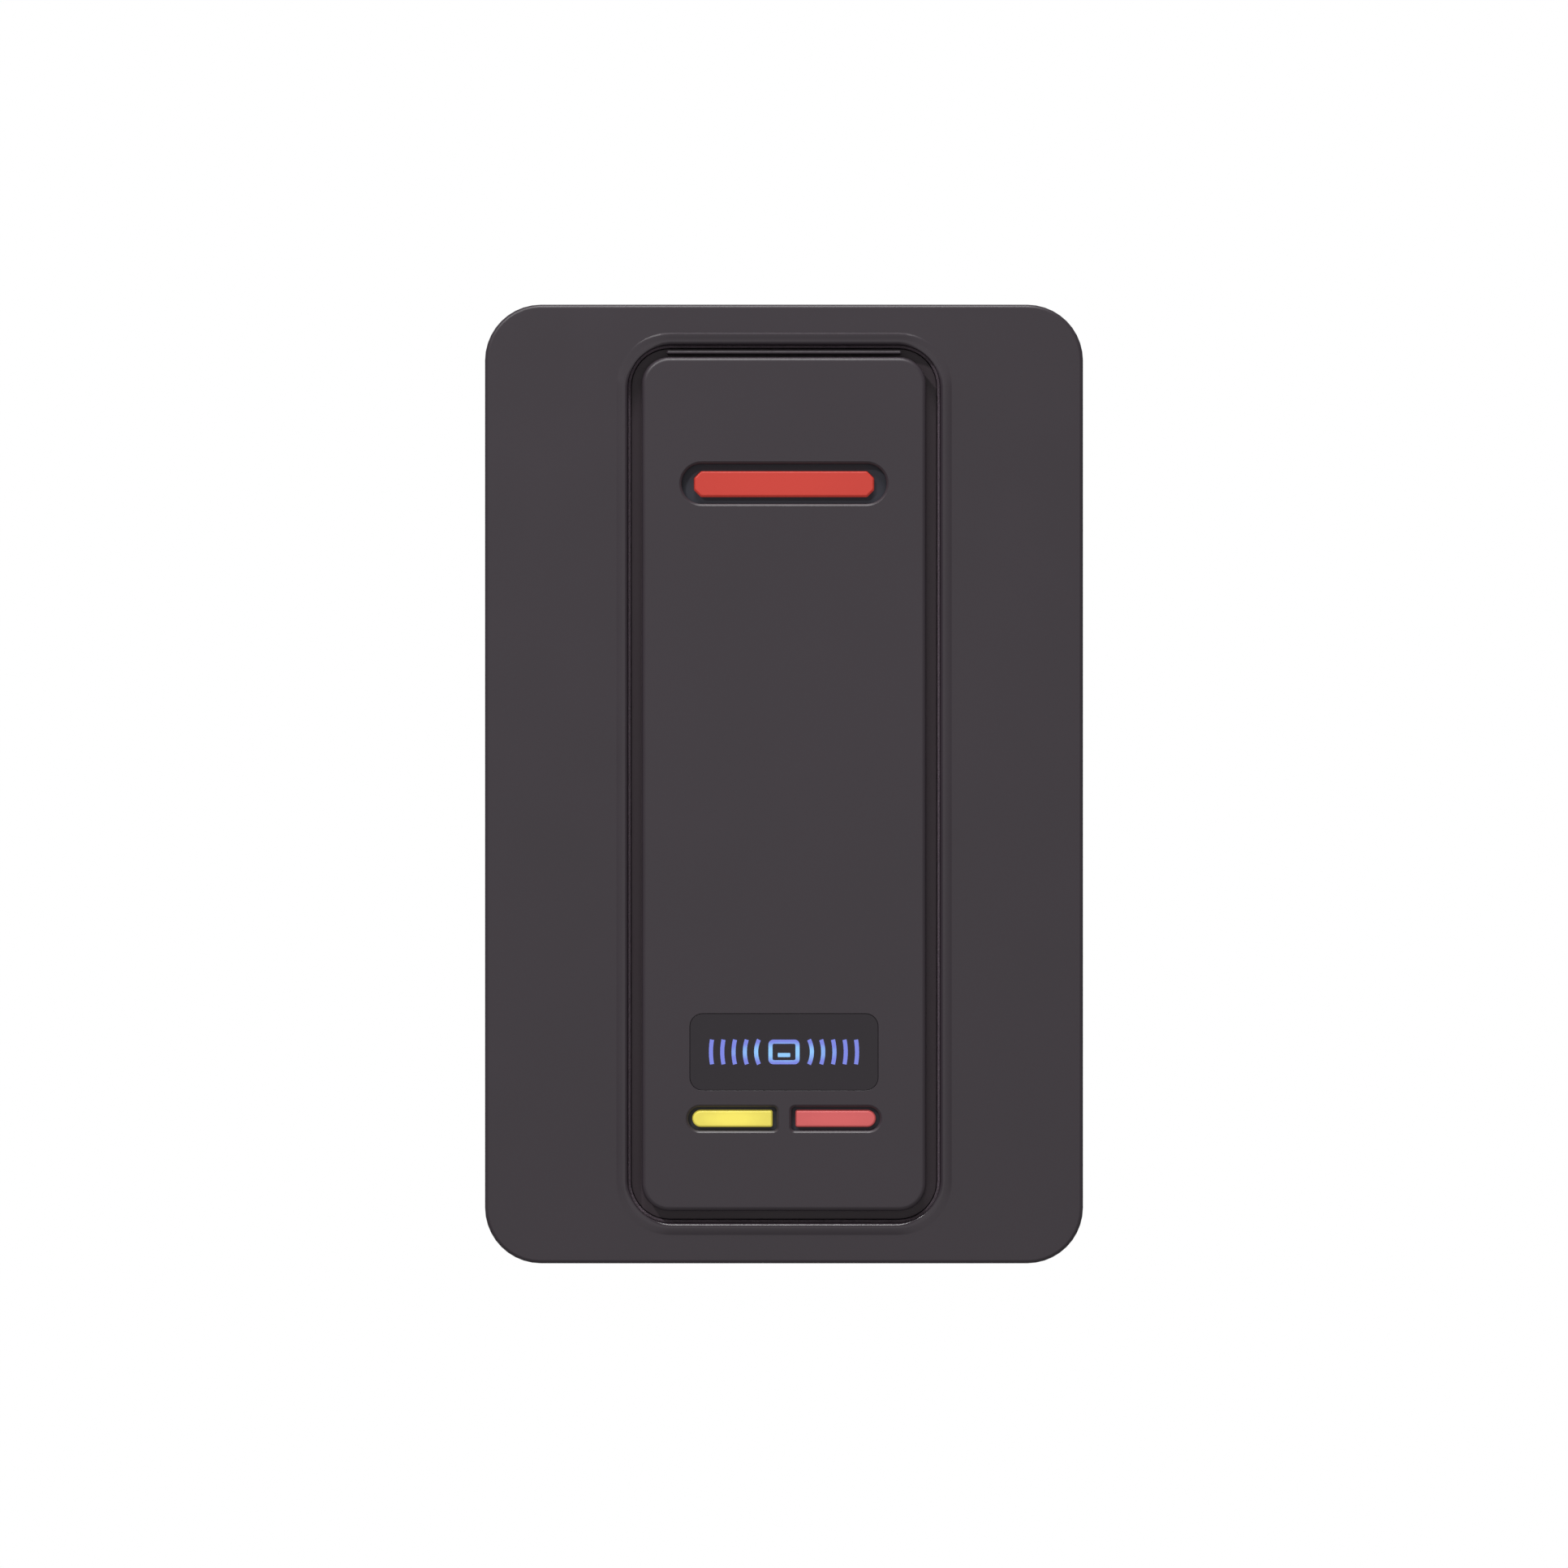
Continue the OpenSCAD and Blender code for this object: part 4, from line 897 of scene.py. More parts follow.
@dataclass
class TrimBezel:
    """The wide clip-on cover: slightly crowned wings, a low lip and a pry notch."""

    w: float = 73.0
    h: float = 117.0
    r: float = 6.8
    t: float = 1.8
    front: float = 17.2
    foot: float = 0.4
    edge_r: float = 0.5
    crown: float = 0.22
    opening_w: float = 38.0
    opening_h: float = 107.1
    opening_r: float = 5.0
    lip_w: float = 1.5
    lip_rise: float = 0.3
    lip_fall: float = 0.12
    lip_r: float = 0.5
    collar_t: float = 1.2
    collar_bottom: float = 15.2
    notch_w: float = 8.0
    notch_d: float = 1.2
    notch_slope: float = 0.35
    stop_low: float = 8.0
    stop_w: float = 2.4
    stop_reach: float = 2.2
    stop_inset: tuple[float, float] = (12.0, 16.0)  # from the corners, across and upright
    strip_t: float = 0.75
    strip_reach: float = 0.27
    strip_drop: float = 0.35

    def sag(self, x: float) -> float:
        """Return how far the crowned wings fall away at x."""
        start = self.opening_w / 2 + self.lip_w
        return self.crown * max((abs(x) - start) / (self.w / 2 - start), 0) ** 2

    def back_edge(self, x: float, y: float) -> float:
        """Work out how far the back edge is from the wall, which the notch raises.

        Args:
            x: The point's place, to the right.
            y: The point's place, up.

        Returns:
            The distance.
        """
        if y > self.t - self.h / 2 + 0.01:
            return self.foot
        share = min(max((self.notch_w / 2 + self.notch_slope - abs(x)) / self.notch_slope, 0), 1)
        return self.foot + self.notch_d * share * share * (3 - 2 * share)

    def lip_share(self, x: float, y: float) -> float:
        """Work out the share of the lip's rise, which fades out in the corners.

        Args:
            x: The point's place, to the right.
            y: The point's place, up.

        Returns:
            The share, 1 along the sides.
        """
        a = abs(x) - self.opening_w / 2 + self.opening_r
        b = abs(y) - self.opening_h / 2 + self.opening_r
        return 1 - 0.8 * min(1.4 * math.sin(2 * math.atan2(b, a)), 1) if a > 0 and b > 0 else 1.0

    def stop_places(self) -> Point:
        """Return how far from the middle the end stops and the side stops are."""
        return (self.w / 2 - self.t - self.stop_inset[0], self.h / 2 - self.t - self.stop_inset[1])

    def side_stops(self) -> list[list[float]]:
        """Work out the extra points on each side, for the stops and the notch.

        Returns:
            The points on each side, as shares of its straight length.
        """
        half_x, half_y = self.w / 2 - self.r, self.h / 2 - self.r
        half_stop = self.stop_w / 2
        end_x, side_y = self.stop_places()
        upright = [s * v for v in (side_y + half_stop, side_y - half_stop, 20.0, half_stop)
                   for s in (-1, 1)]
        across = [s * v for v in (end_x + half_stop, end_x - half_stop, 12.0) for s in (-1, 1)]
        notch = [s * (self.notch_w / 2 + v) for v in (self.notch_slope, 0.26, 0.175, 0.09, 0.0)
                 for s in (-1, 1)]
        return [sorted((v + half) / (2 * half) for v in spots) for spots, half in
                ((upright, half_y), (across, half_x), (upright, half_y), (across + notch, half_x))]

    def build(self) -> None:
        """Draw the shell as one closed surface."""
        draft, stops = Draft(), self.side_stops()
        body = round_rect(self.w, self.h, self.r)
        opening = round_rect(self.opening_w, self.opening_h, self.opening_r)
        # Both outlines get as many points, so that the wings can be lofted between them.
        outer, hole = (lambda grow, o=o: o.points(grow, stops=stops) for o in (body, opening))
        foot = draft.ring(outer(0), self.back_edge)
        collar = self.build_front(draft, foot, outer, hole)
        self.build_inside(draft, foot, outer(-self.t), collar)
        draft.piece("trim_bezel_shell", [BEZEL_ABS, EDGE_ABS], Body.TRIM, "bezel_plastic",
                    ["trim_bezel"])
        self.build_dust_strip(opening)

    def build_front(self, draft: Draft, foot: Ring, outer: Callable[[float], list[Point]],
                    hole: Callable[[float], list[Point]]) -> Ring:
        """Draw the outside: the sides, the crowned wings, the lip and the collar behind it.

        Args:
            draft: The drawing.
            foot: The ring at the back edge.
            outer: Gives the body's outline, offset outward.
            hole: Gives the opening's outline, offset outward.

        Returns:
            The collar's ring inside, where it meets the wings' inner face.
        """
        last = draft.loft(foot, [
            (outer(-self.edge_r * (1 - cosine)),
             lambda x, y, z=self.front - self.edge_r * (1 - sine): z - self.sag(x))
            for sine, cosine in quarter(8)])
        steps, pairs = 8, list(zip(outer(-self.edge_r), hole(self.lip_w)))
        last = draft.loft(last, [
            ([(a[0] + (b[0] - a[0]) * k / steps, a[1] + (b[1] - a[1]) * k / steps)
              for a, b in pairs],
             lambda x, y: self.front - self.sag(x)) for k in range(1, steps + 1)])

        def lip(steep: float, gentle: float | None = None) -> Callable[[float, float], float]:
            """Make the lip's height at each point.

            Args:
                steep: Its rise above the panel, where its outer slope is steeper.
                gentle: Its rise elsewhere, or None for the same.

            Returns:
                A function that gives the distance from the wall.
            """
            low = steep if gentle is None else gentle
            return lambda x, y: self.front + self.lip_share(x, y) * (
                steep if y > self.opening_h / 2 else low)

        inner_rise = self.lip_rise - self.lip_fall
        last = draft.loft(last, [(hole(grow), lip(steep, gentle)) for grow, steep, gentle in (
            (1.45, 0.07, 0.01), (1.32, 0.28, 0.04), (1.2, 0.3, 0.08), (0.9, 0.23, 0.15),
            (0.6, inner_rise, inner_rise))])
        last = draft.loft(last, [
            (hole(self.lip_r * (1 - sine)), lip(inner_rise - self.lip_r * (1 - cosine)))
            for sine, cosine in quarter(6)], material=1)
        bevel = 0.15
        return draft.loft(last, [(hole(0), self.collar_bottom + bevel),
                                 (hole(bevel), self.collar_bottom),
                                 (hole(self.collar_t), self.collar_bottom),
                                 (hole(self.collar_t), self.front - self.t)])

    def build_inside(self, draft: Draft, foot: Ring, inner: Sequence[Point], collar: Ring) -> None:
        """Draw the skirt's inner face, the stops that rest on the plate's rim and the ceiling.

        Args:
            draft: The drawing.
            foot: The ring at the back edge.
            inner: The skirt's inner outline.
            collar: The collar's ring in the ceiling.
        """
        middle = draft.loft(foot, [(inner, self.back_edge), (inner, self.stop_low)])
        high = draft.ring(inner, self.front - self.t)
        half = self.stop_w / 2
        end_x, side_y = self.stop_places()
        centres = [(s * (self.w / 2 - self.t), y) for s in (-1, 1) for y in (-side_y, 0, side_y)]
        centres += [(x, s * (self.h / 2 - self.t)) for s in (-1, 1) for x in (-end_x, end_x)]
        marked = {}
        for i, a in enumerate(inner):
            b = inner[(i + 1) % len(inner)]
            spot = ((a[0] + b[0]) / 2, (a[1] + b[1]) / 2)
            near = [c for c in centres
                    if math.dist(spot, c) < 0.05 and math.dist(a, b) < 2 * half + 0.1]
            if near:
                sideways = abs(abs(near[0][0]) - self.w / 2 + self.t) < 1e-6
                marked[i] = (-math.copysign(self.stop_reach, spot[0]), 0) if sideways else (
                    0, -math.copysign(self.stop_reach, spot[1]))
        draft.wall(middle, high, skip=list(marked))
        loop = []
        for i in range(len(inner)):
            loop.append(high[i])
            if i in marked:
                j = (i + 1) % len(inner)
                dx, dy = marked[i]
                tips = [(inner[k][0] + dx, inner[k][1] + dy) for k in (i, j)]
                base = draft.ring(tips, self.stop_low)
                top = draft.ring(tips, self.front - self.t)
                for corners in ((middle[i], middle[j], base[1], base[0]),
                                (middle[i], base[0], top[0], high[i]),
                                (middle[j], high[j], top[1], base[1]),
                                (base[0], base[1], top[1], top[0])):
                    draft.bm.faces.new(corners)[draft.flat] = 1
                loop += top
        draft.cap(loop, [collar])

    def build_dust_strip(self, opening: Outline) -> None:
        """Draw the flocked strip on the collar, which closes the slit round the core.

        Args:
            opening: The bezel's opening.
        """
        draft, reach = Draft(), self.strip_reach
        low = self.collar_bottom - self.strip_drop
        high = low + self.strip_t
        draft.band((opening.points(grow), level) for grow, level in (
            (0.0, low), (-reach + 0.06, low), (-reach, low + 0.06), (-reach, high - 0.1),
            (-reach + 0.1, high), (0.0, high)))
        # The strip's pale finish is painted light in the slit that the collar shades.
        draft.piece("collar_dust_strip", [SLIT_STRIP_PAINTED_LIGHT], Body.TRIM, "foam_rubber")


@dataclass
class FaceCover:
    """The slim raised panel, its brim in the groove, its slots and the post inside."""

    w: float = 34.7
    h: float = 104.1
    r: float = 3.35
    t: float = 1.6
    front: float = 18.0
    edge_r: float = 0.6
    core_w: float = 37.4
    core_h: float = 106.5
    core_r: float = 4.7
    brim_top: float = 14.8
    brim_bottom: float = 13.2
    brim_bevel: float = 0.08
    skirt_w: float = 34.0
    skirt_h: float = 103.1
    skirt_r: float = 3.0
    skirt_t: float = 1.0
    skirt_bottom: float = 11.6
    skirt_bevel: float = 0.2
    rib_l: float = 28.6
    rib_t: float = 0.4
    rib_y: float = 52.65
    rib_top: float = 17.2
    post_r: float = 1.8
    post_y: float = -23.1
    post_bottom: float = 15.25

    def slot(self, draft: Draft, outline: Outline, floor: float, opening: Outline,
             edge: float) -> tuple[Ring, Ring]:
        """Draw one slot with its opening.

        Args:
            draft: The drawing.
            outline: The slot's outline.
            floor: Distance of its floor from the wall.
            opening: Outline of the opening in its floor.
            edge: Width of its sloped front edge.

        Returns:
            The slot's ring in the front face and the opening's ring in the inner face.
        """
        rim = draft.ring(outline.points(edge), self.front)
        last = draft.loft(rim, [(outline.points(edge * grow), self.front - edge * drop)
                                for grow, drop in ((0.85, 0.06), (0.15, 0.6), (0.0, 0.85))])
        # The slot's walls, its floor and the opening's walls take finish 1, the painted shade.
        bottom = draft.wall(last, draft.ring(outline.points(), floor), material=1)
        inner = draft.ring(opening.points(), floor)
        draft.cap(bottom, [inner], material=1)
        return rim, draft.loft(inner, [(opening.points(), self.front - self.t)], material=1)

    def build(self, windows: "Windows") -> None:
        """Draw the cover as one closed surface.

        Args:
            windows: The windows, whose slots the cover holds.
        """
        draft = Draft()
        panel = round_rect(self.w, self.h, self.r)
        core = round_rect(self.core_w, self.core_h, self.core_r)
        slots = [self.slot(draft, *spec) for spec in windows.slots()]
        rim = draft.ring(panel.points(-self.edge_r), self.front)
        draft.cap(rim, [s[0] for s in slots])
        last = draft.loft(rim, [(panel.points(-self.edge_r * (1 - sine)),
                                 self.front - self.edge_r * (1 - cosine))
                                for sine, cosine in quarter(6)[1:]])
        wall_foot = draft.wall(last, draft.ring(panel.points(), self.brim_top))
        brim = draft.ring(core.points(-self.brim_bevel), self.brim_top)
        rib = round_rect(self.rib_l, self.rib_t, self.rib_t / 2, y=self.rib_y)
        rib_foot = draft.ring(rib.points(steps=4), self.brim_top)
        # The groove's floor takes finish 2, its painted shading.
        draft.cap(brim, [wall_foot, rib_foot], material=2)
        draft.cap(draft.loft(rib_foot, [
            (rib.points(grow, steps=4), self.rib_top - drop)
            for grow, drop in ((0, 0.12), (-0.08, 0.03), (-0.14, 0.0))]))
        last = draft.loft(brim, [(core.points(), self.brim_top - self.brim_bevel),
                                 (core.points(), self.brim_bottom)])
        skirt = round_rect(self.skirt_w, self.skirt_h, self.skirt_r)
        skirt_top = draft.ring(skirt.points(), self.brim_bottom)
        draft.cap(last, [skirt_top])
        last = draft.loft(skirt_top, [
            (skirt.points(), self.skirt_bottom + self.skirt_bevel),
            (skirt.points(-self.skirt_bevel), self.skirt_bottom),
            (skirt.points(-self.skirt_t), self.skirt_bottom),
            (skirt.points(-self.skirt_t), self.brim_bottom)])
        inner = draft.ring(panel.points(-self.t), self.brim_bottom)
        draft.cap(last, [inner])
        ceiling = draft.wall(inner, draft.ring(panel.points(-self.t), self.front - self.t))
        post = draft.ring(circle(self.post_r, 0, self.post_y), self.front - self.t)
        draft.cap(ceiling, [s[1] for s in slots] + [post])
        draft.cap(draft.loft(post, [(circle(self.post_r, 0, self.post_y), self.post_bottom)]))
        # Finish 1 is the painted shade in the slots; finish 2 is the groove floor's painted
        # shading.
        draft.piece("face_cover_shell", [FACE_ABS, SLOT_PAINTED_SHADE, GROOVE_PAINTED_SHADE_ABS], Body.FACE,
                    "face_plastic", ["face_cover"])


@dataclass
class Windows:
    """The three lit windows, the badge window and the lit pictogram in it."""

    front: float = 18.0
    face_inside: float = 16.4
    back: float = 12.8
    seat_gap: float = 0.1
    top_slot_w: float = 25.0
    top_slot_h: float = 4.9
    top_floor: float = 17.0
    top_y: float = 36.6
    top_w: float = 21.8
    top_h: float = 3.0
    top_cut: float = 0.8
    top_front: float = 17.7
    low_slot_w: float = 10.8
    low_slot_h: float = 2.9
    low_floor: float = 17.2
    low_x: float = 6.3
    low_y: float = -40.8
    low_w: float = 9.6
    low_h: float = 1.9
    low_front: float = 17.8
    flange_t: float = 0.8
    flange_w: float = 1.15
    low_flange_w: float = 0.5
    badge_w: float = 23.0
    badge_h: float = 9.4
    badge_r: float = 1.6
    badge_y: float = -32.65
    badge_floor: float = 17.5
    badge_front: float = 17.95
    badge_ledge: float = 1.85
    badge_gap: float = 0.05
    badge_edge: float = 0.03
    slot_edge: float = 0.3
    lens_edge: float = 0.2
    card_w: float = 3.8
    card_h: float = 3.0
    line: float = 0.5
    waves: int = 5
    inlay_d: float = 0.4

    def top_outline(self, grow: float = 0.0) -> Outline:
        """Return the top window's outline, with its sides moved outward by grow."""
        cut = self.top_cut + grow * (2 - math.sqrt(2))
        return cut_rect(self.top_w + 2 * grow, self.top_h + 2 * grow, cut, 0.35, self.top_y)

    def low_outline(self, side: int, w: float, h: float, square_r: float) -> Outline:
        """Return a lower outline: side -1 is the left one, with its round end outward."""
        return round_rect(w, h, h / 2, side * self.low_x, self.low_y, square_r, side < 0)

    def slots(self) -> list[tuple[Outline, float, Outline, float]]:
        """List the slots that the cover holds.

        Returns:
            Each slot's outline, floor, opening and edge width.
        """
        gap = 2 * self.seat_gap
        found = [(round_rect(self.top_slot_w, self.top_slot_h, self.top_slot_h / 2, y=self.top_y),
                  self.top_floor, self.top_outline(self.seat_gap), self.slot_edge)]
        for side in (-1, 1):
            found.append((self.low_outline(side, self.low_slot_w, self.low_slot_h, 0.45),
                          self.low_floor,
                          self.low_outline(side, self.low_w + gap, self.low_h + gap, 0.25),
                          self.slot_edge))
        ledge = 2 * self.badge_ledge
        found.append((round_rect(self.badge_w, self.badge_h, self.badge_r, y=self.badge_y),
                      self.badge_floor,
                      round_rect(self.badge_w - ledge, self.badge_h - ledge, 0.2, y=self.badge_y),
                      self.badge_edge))
        return found

    def lens(self, name: str, outline: Outline, flange: Outline, front: float, finish: Finish,
             slot: str) -> None:
        """Draw one window: a rounded front, a stem and the flange that holds it.

        Args:
            name: The CAD node that it stands for.
            outline: The outline of its stem.
            flange: The outline of its flange.
            front: Distance of its front from the wall.
            finish: Its finish.
            slot: Its material slot.
        """
        draft, edge = Draft(), self.lens_edge
        first = draft.ring(outline.points(-edge, steps=6), front)
        draft.cap(first)
        last = draft.loft(first, [
            (outline.points(-edge * (1 - sine), steps=6), front - edge * (1 - cosine))
            for sine, cosine in quarter(4)[1:]])
        last = draft.wall(last, draft.ring(outline.points(steps=6), self.face_inside))
        rim = draft.ring(flange.points(steps=4), self.face_inside)
        draft.cap(rim, [last])
        rim = draft.wall(rim, draft.ring(flange.points(steps=4), self.face_inside - self.flange_t))
        stem = draft.ring(outline.points(steps=6), self.face_inside - self.flange_t)
        draft.cap(rim, [stem])
        draft.cap(draft.wall(stem, draft.ring(outline.points(steps=6), self.back)))
        draft.piece(name + "_moulded", [finish], Body.FACE, slot, [name])

    def wave(self, side: int, r: float) -> list[Point]:
        """Draw one wave of the pictogram: an arc of constant width, as high as the card.

        Args:
            side: -1 for the left of the card, 1 for the right.
            r: The arc's middle radius, about the card's middle.

        Returns:
            The wave's points, counter-clockwise.
        """
        spread, steps = math.asin(self.card_h / 2 / r), 14
        bounds = []
        for radius, way in ((r + self.line / 2, 1), (r - self.line / 2, -1)):
            for k in range(steps + 1):
                angle = way * (-spread + 2 * spread * k / steps)
                bounds.append((side * radius * math.cos(angle),
                               self.badge_y + radius * math.sin(angle)))
        return bounds if side > 0 else bounds[::-1]

    def build_badge(self) -> None:
        """Draw the smoked badge window and the lit pictogram inlaid in it."""
        card = round_rect(self.card_w, self.card_h, 0.6, y=self.badge_y).points(steps=6)
        card_in = round_rect(self.card_w - 2 * self.line, self.card_h - 2 * self.line, 0.2,
                             y=self.badge_y).points(steps=6)
        bar = round_rect(0.4 * self.card_w, self.line, 0.08,
                         y=self.badge_y - self.card_h / 8).points(steps=3)
        first, reach = self.card_w / 2 + 1.5, self.badge_w / 2 - 2.6
        waves = [self.wave(side, first + k * (reach - first) / (self.waves - 1))
                 for side in (-1, 1) for k in range(self.waves)]
        body = round_rect(self.badge_w - 2 * self.badge_gap, self.badge_h - 2 * self.badge_gap,
                          self.badge_r - self.badge_gap, y=self.badge_y)
        bed = self.badge_front - self.inlay_d

        window, edge = Draft(), self.badge_edge
        base = window.ring(body.points(), self.badge_floor)
        window.cap(base)
        last = window.loft(base, [(body.points(-edge * (1 - cosine)),
                                   self.badge_front - edge * (1 - sine))
                                  for sine, cosine in quarter(3)])
        rings = {}
        for key, points in [("card", card), ("card_in", card_in), ("bar", bar)] + [
                (f"wave{i}", points) for i, points in enumerate(waves)]:
            rings[key] = window.ring(points, self.badge_front)
            low = window.wall(rings[key], window.ring(points, bed))
            rings[key + "_bed"] = low
            if key not in ("card", "card_in"):
                window.cap(low)
        window.cap(rings["card_bed"], [rings["card_in_bed"]])
        window.cap(last, [rings["card"]] + [rings[f"wave{i}"] for i in range(len(waves))])
        window.cap(rings["card_in"], [rings["bar"]])
        window.piece("badge_window_smoked", [SMOKED_ACRYLIC], Body.FACE, "smoked_window",
                     ["badge_window"])

        legend = Draft()
        for points in [bar] + waves:
            legend.solid([(points, bed), (points, self.badge_front)])
        rings = {(key, level): legend.ring(points, level) for key, points in
                 (("card", card), ("card_in", card_in)) for level in (bed, self.badge_front)}
        for level in (bed, self.badge_front):
            legend.cap(rings["card", level], [rings["card_in", level]])
        for key in ("card", "card_in"):
            legend.wall(rings[key, bed], rings[key, self.badge_front])
        legend.piece("badge_pictogram", [BLUE_INLAY], Body.FACE, "blue_legend", ["badge_legend"])

    def build(self) -> None:
        """Draw all the windows."""
        grow = 2 * self.flange_w
        flange = round_rect(self.top_w + grow, self.top_h + grow, 0.3, y=self.top_y)
        self.lens("top_lens", self.top_outline(), flange, self.top_front, RED_LENS, "red_lens")
        grow = 2 * self.low_flange_w
        for side, name, finish, slot in ((-1, "left_lens", YELLOW_LENS, "yellow_lens"),
                                         (1, "right_lens", ROSE_LENS, "rose_lens")):
            self.lens(name, self.low_outline(side, self.low_w, self.low_h, 0.2),
                      self.low_outline(side, self.low_w + grow, self.low_h + grow, 0.3),
                      self.low_front, finish, slot)
        self.build_badge()


# ---- Electronics ----


@dataclass
class Antenna:
    """The coil: enamelled wire wound round the former in even turns."""

    turns: int = 10
    wire_r: float = 0.15
    layer_w: float = 2.0
    corner_r: float = 6.8

    def build(self) -> None:
        """Draw the winding as a ribbed band where the plain coil is."""
        lo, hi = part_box("antenna_coil")
        w, h = (hi.x - lo.x) / MM, (hi.z - lo.z) / MM
        low, high = -hi.y / MM, -lo.y / MM
        middle_y = (hi.z + lo.z) / 2 / MM
        outline = round_rect(w, h, self.corner_r, y=middle_y)
        pitch = (high - low) / self.turns
        profile = [(-self.layer_w, low), (-self.wire_r, low)]
        for i in range(self.turns):
            for sine, cosine in ((-0.7, 0.7), (0.0, 1.0), (0.7, 0.7)):
                profile.append((self.wire_r * (cosine - 1), low + pitch * (i + 0.5 + 0.5 * sine)))
            profile.append((-self.wire_r, low + pitch * (i + 1)))
        profile.append((-self.layer_w, high))
        draft = Draft()
        draft.band((outline.points(grow, steps=8), level) for grow, level in profile)
        draft.piece("antenna_winding", [ENAMELLED_COPPER], Body.BASE, "copper_wire",
                    ["antenna_coil"])


@dataclass
class BoardDetails:
    """Pads, solder, tracks and prints that a populated board shows."""

    board_front: float = 10.6
    pad_t: float = 0.05
    track_w: float = 0.3
    track_t: float = 0.035

    def pads(self) -> None:
        """Draw the pads and solder at the feet of the leads and ends of the parts."""
        draft = Draft()
        margin, slope = 0.14, 0.05
        for name in ("chip_ends", "chip_leads", "tamper_legs"):
            for block in solids(name):
                low = round_rect(block.w + 2 * margin, block.h + 2 * margin, 0.08,
                                 block.x, block.y)
                draft.solid([(low.points(steps=2), self.board_front),
                             (low.points(-slope, steps=2), self.board_front + self.pad_t)])
        draft.piece("solder_pads", [SOLDER], Body.BASE, "tinned_metal")

        cones = Draft()
        for block in solids("terminal_pins"):
            cones.solid((circle(r, block.x, block.y, 20), self.board_front + rise) for r, rise in
                        ((0.95, 0.0), (0.78, 0.1), (0.6, 0.3), (0.5, 0.6), (0.455, 0.85)))
        cones.piece("pin_solder", [SOLDER], Body.BASE, "tinned_metal")

    def tracks(self) -> None:
        """Draw masked tracks that leave the leads and end at vias."""
        rng = random.Random(SEED)
        draft, vias = Draft(), Draft()
        chips = [solids(name)[0] for name in ("controller_chip", "radio_chip")]
        for block in solids("chip_leads"):
            chip = min(chips, key=lambda c: math.dist(
                (c.x, c.y), (block.x, block.y)) - (c.w + c.h) / 4)
            dx, dy = block.x - chip.x, block.y - chip.y
            sideways = abs(dx) / chip.w > abs(dy) / chip.h
            way = (math.copysign(1, dx), 0.0) if sideways else (0.0, math.copysign(1, dy))
            reach = rng.choice((0.9, 1.3, 1.8))
            start = (block.x + way[0] * block.w / 2, block.y + way[1] * block.h / 2)
            end = (start[0] + way[0] * reach, start[1] + way[1] * reach)
            self.track(draft, [start, end])
            self.via(vias, end)
        for k, block in enumerate(solids("terminal_pins")):
            for s in (-1, 1):
                if (k + s) % 3:
                    reach = 1.6 + 0.5 * (k % 3)
                    bend = (block.x, block.y + s * reach)
                    end = (bend[0] + 0.6 * s, bend[1] + 0.6 * s)
                    self.track(draft, [(block.x, block.y), bend, end])
                    self.via(vias, end)
        draft.piece("masked_tracks", [MASKED_COPPER], Body.BASE, "board_laminate")
        vias.piece("tinned_vias", [SOLDER], Body.BASE, "tinned_metal")

    def track(self, draft: Draft, path: Sequence[Point]) -> None:
        """Add one track along a path of straight runs.

        Args:
            draft: The drawing.
            path: The path's points.
        """
        for a, b in zip(path, path[1:]):
            run = math.dist(a, b)
            ux, uy = (b[0] - a[0]) / run, (b[1] - a[1]) / run
            half = self.track_w / 2
            corners = [(a[0] + uy * half, a[1] - ux * half), (b[0] + uy * half, b[1] - ux * half),
                       (b[0] + ux * half, b[1] + uy * half),
                       (b[0] - uy * half, b[1] + ux * half), (a[0] - uy * half, a[1] + ux * half)]
            draft.solid([(corners, self.board_front),
                         (corners, self.board_front + self.track_t)])

    def via(self, draft: Draft, spot: Point) -> None:
        """Add one via: a low tinned ring round a small hole.

        Args:
            draft: The drawing.
            spot: Its middle.
        """
        draft.band((circle(r, *spot, 12), self.board_front + rise) for r, rise in
                   ((0.34, 0.0), (0.3, 0.055), (0.16, 0.055), (0.14, 0.0)))

    def prints(self) -> None:
        """Draw the white outlines printed round the larger parts."""
        draft = Draft()
        line, t, gap = 0.16, 0.02, 0.3
        for name in ("controller_chip", "radio_chip", "crystal", "buzzer_case", "tamper_case",
                     "electrolytic_cans", "tuning_capacitors"):
            for block in solids(name):
                if block.h < 2 or block.lo[2] > self.board_front + 0.3:
                    continue
                r = min(block.w, block.h) / 2 if name in ("buzzer_case", "crystal") else 0.4
                grow = 1.3 if name.endswith("chip") else gap
                outline = round_rect(block.w, block.h, r, block.x, block.y)
                draft.band((outline.points(grow + extra), self.board_front + rise)
                           for extra, rise in ((line, 0.0), (line, t), (0.0, t), (0.0, 0.0)))
        draft.piece("screen_print", [SCREEN_WHITE], Body.BASE, "white_plastic")

    def can_tops(self) -> None:
        """Draw the black polarity segment on top of each electrolytic can."""
        draft = Draft()
        for block in solids("electrolytic_cans"):
            r = block.w / 2 - 0.45
            if block.hi[2] < self.board_front + 4 or r < 1:
                continue
            start, end = math.radians(118), math.radians(242)
            points = [(block.x + r * math.cos(start + (end - start) * k / 20),
                       block.y + r * math.sin(start + (end - start) * k / 20)) for k in range(21)]
            draft.solid([(points, block.hi[2]), (points, block.hi[2] + 0.03)])
        draft.piece("can_polarity_prints", [CAN_PRINT], Body.BASE, "chip_epoxy")

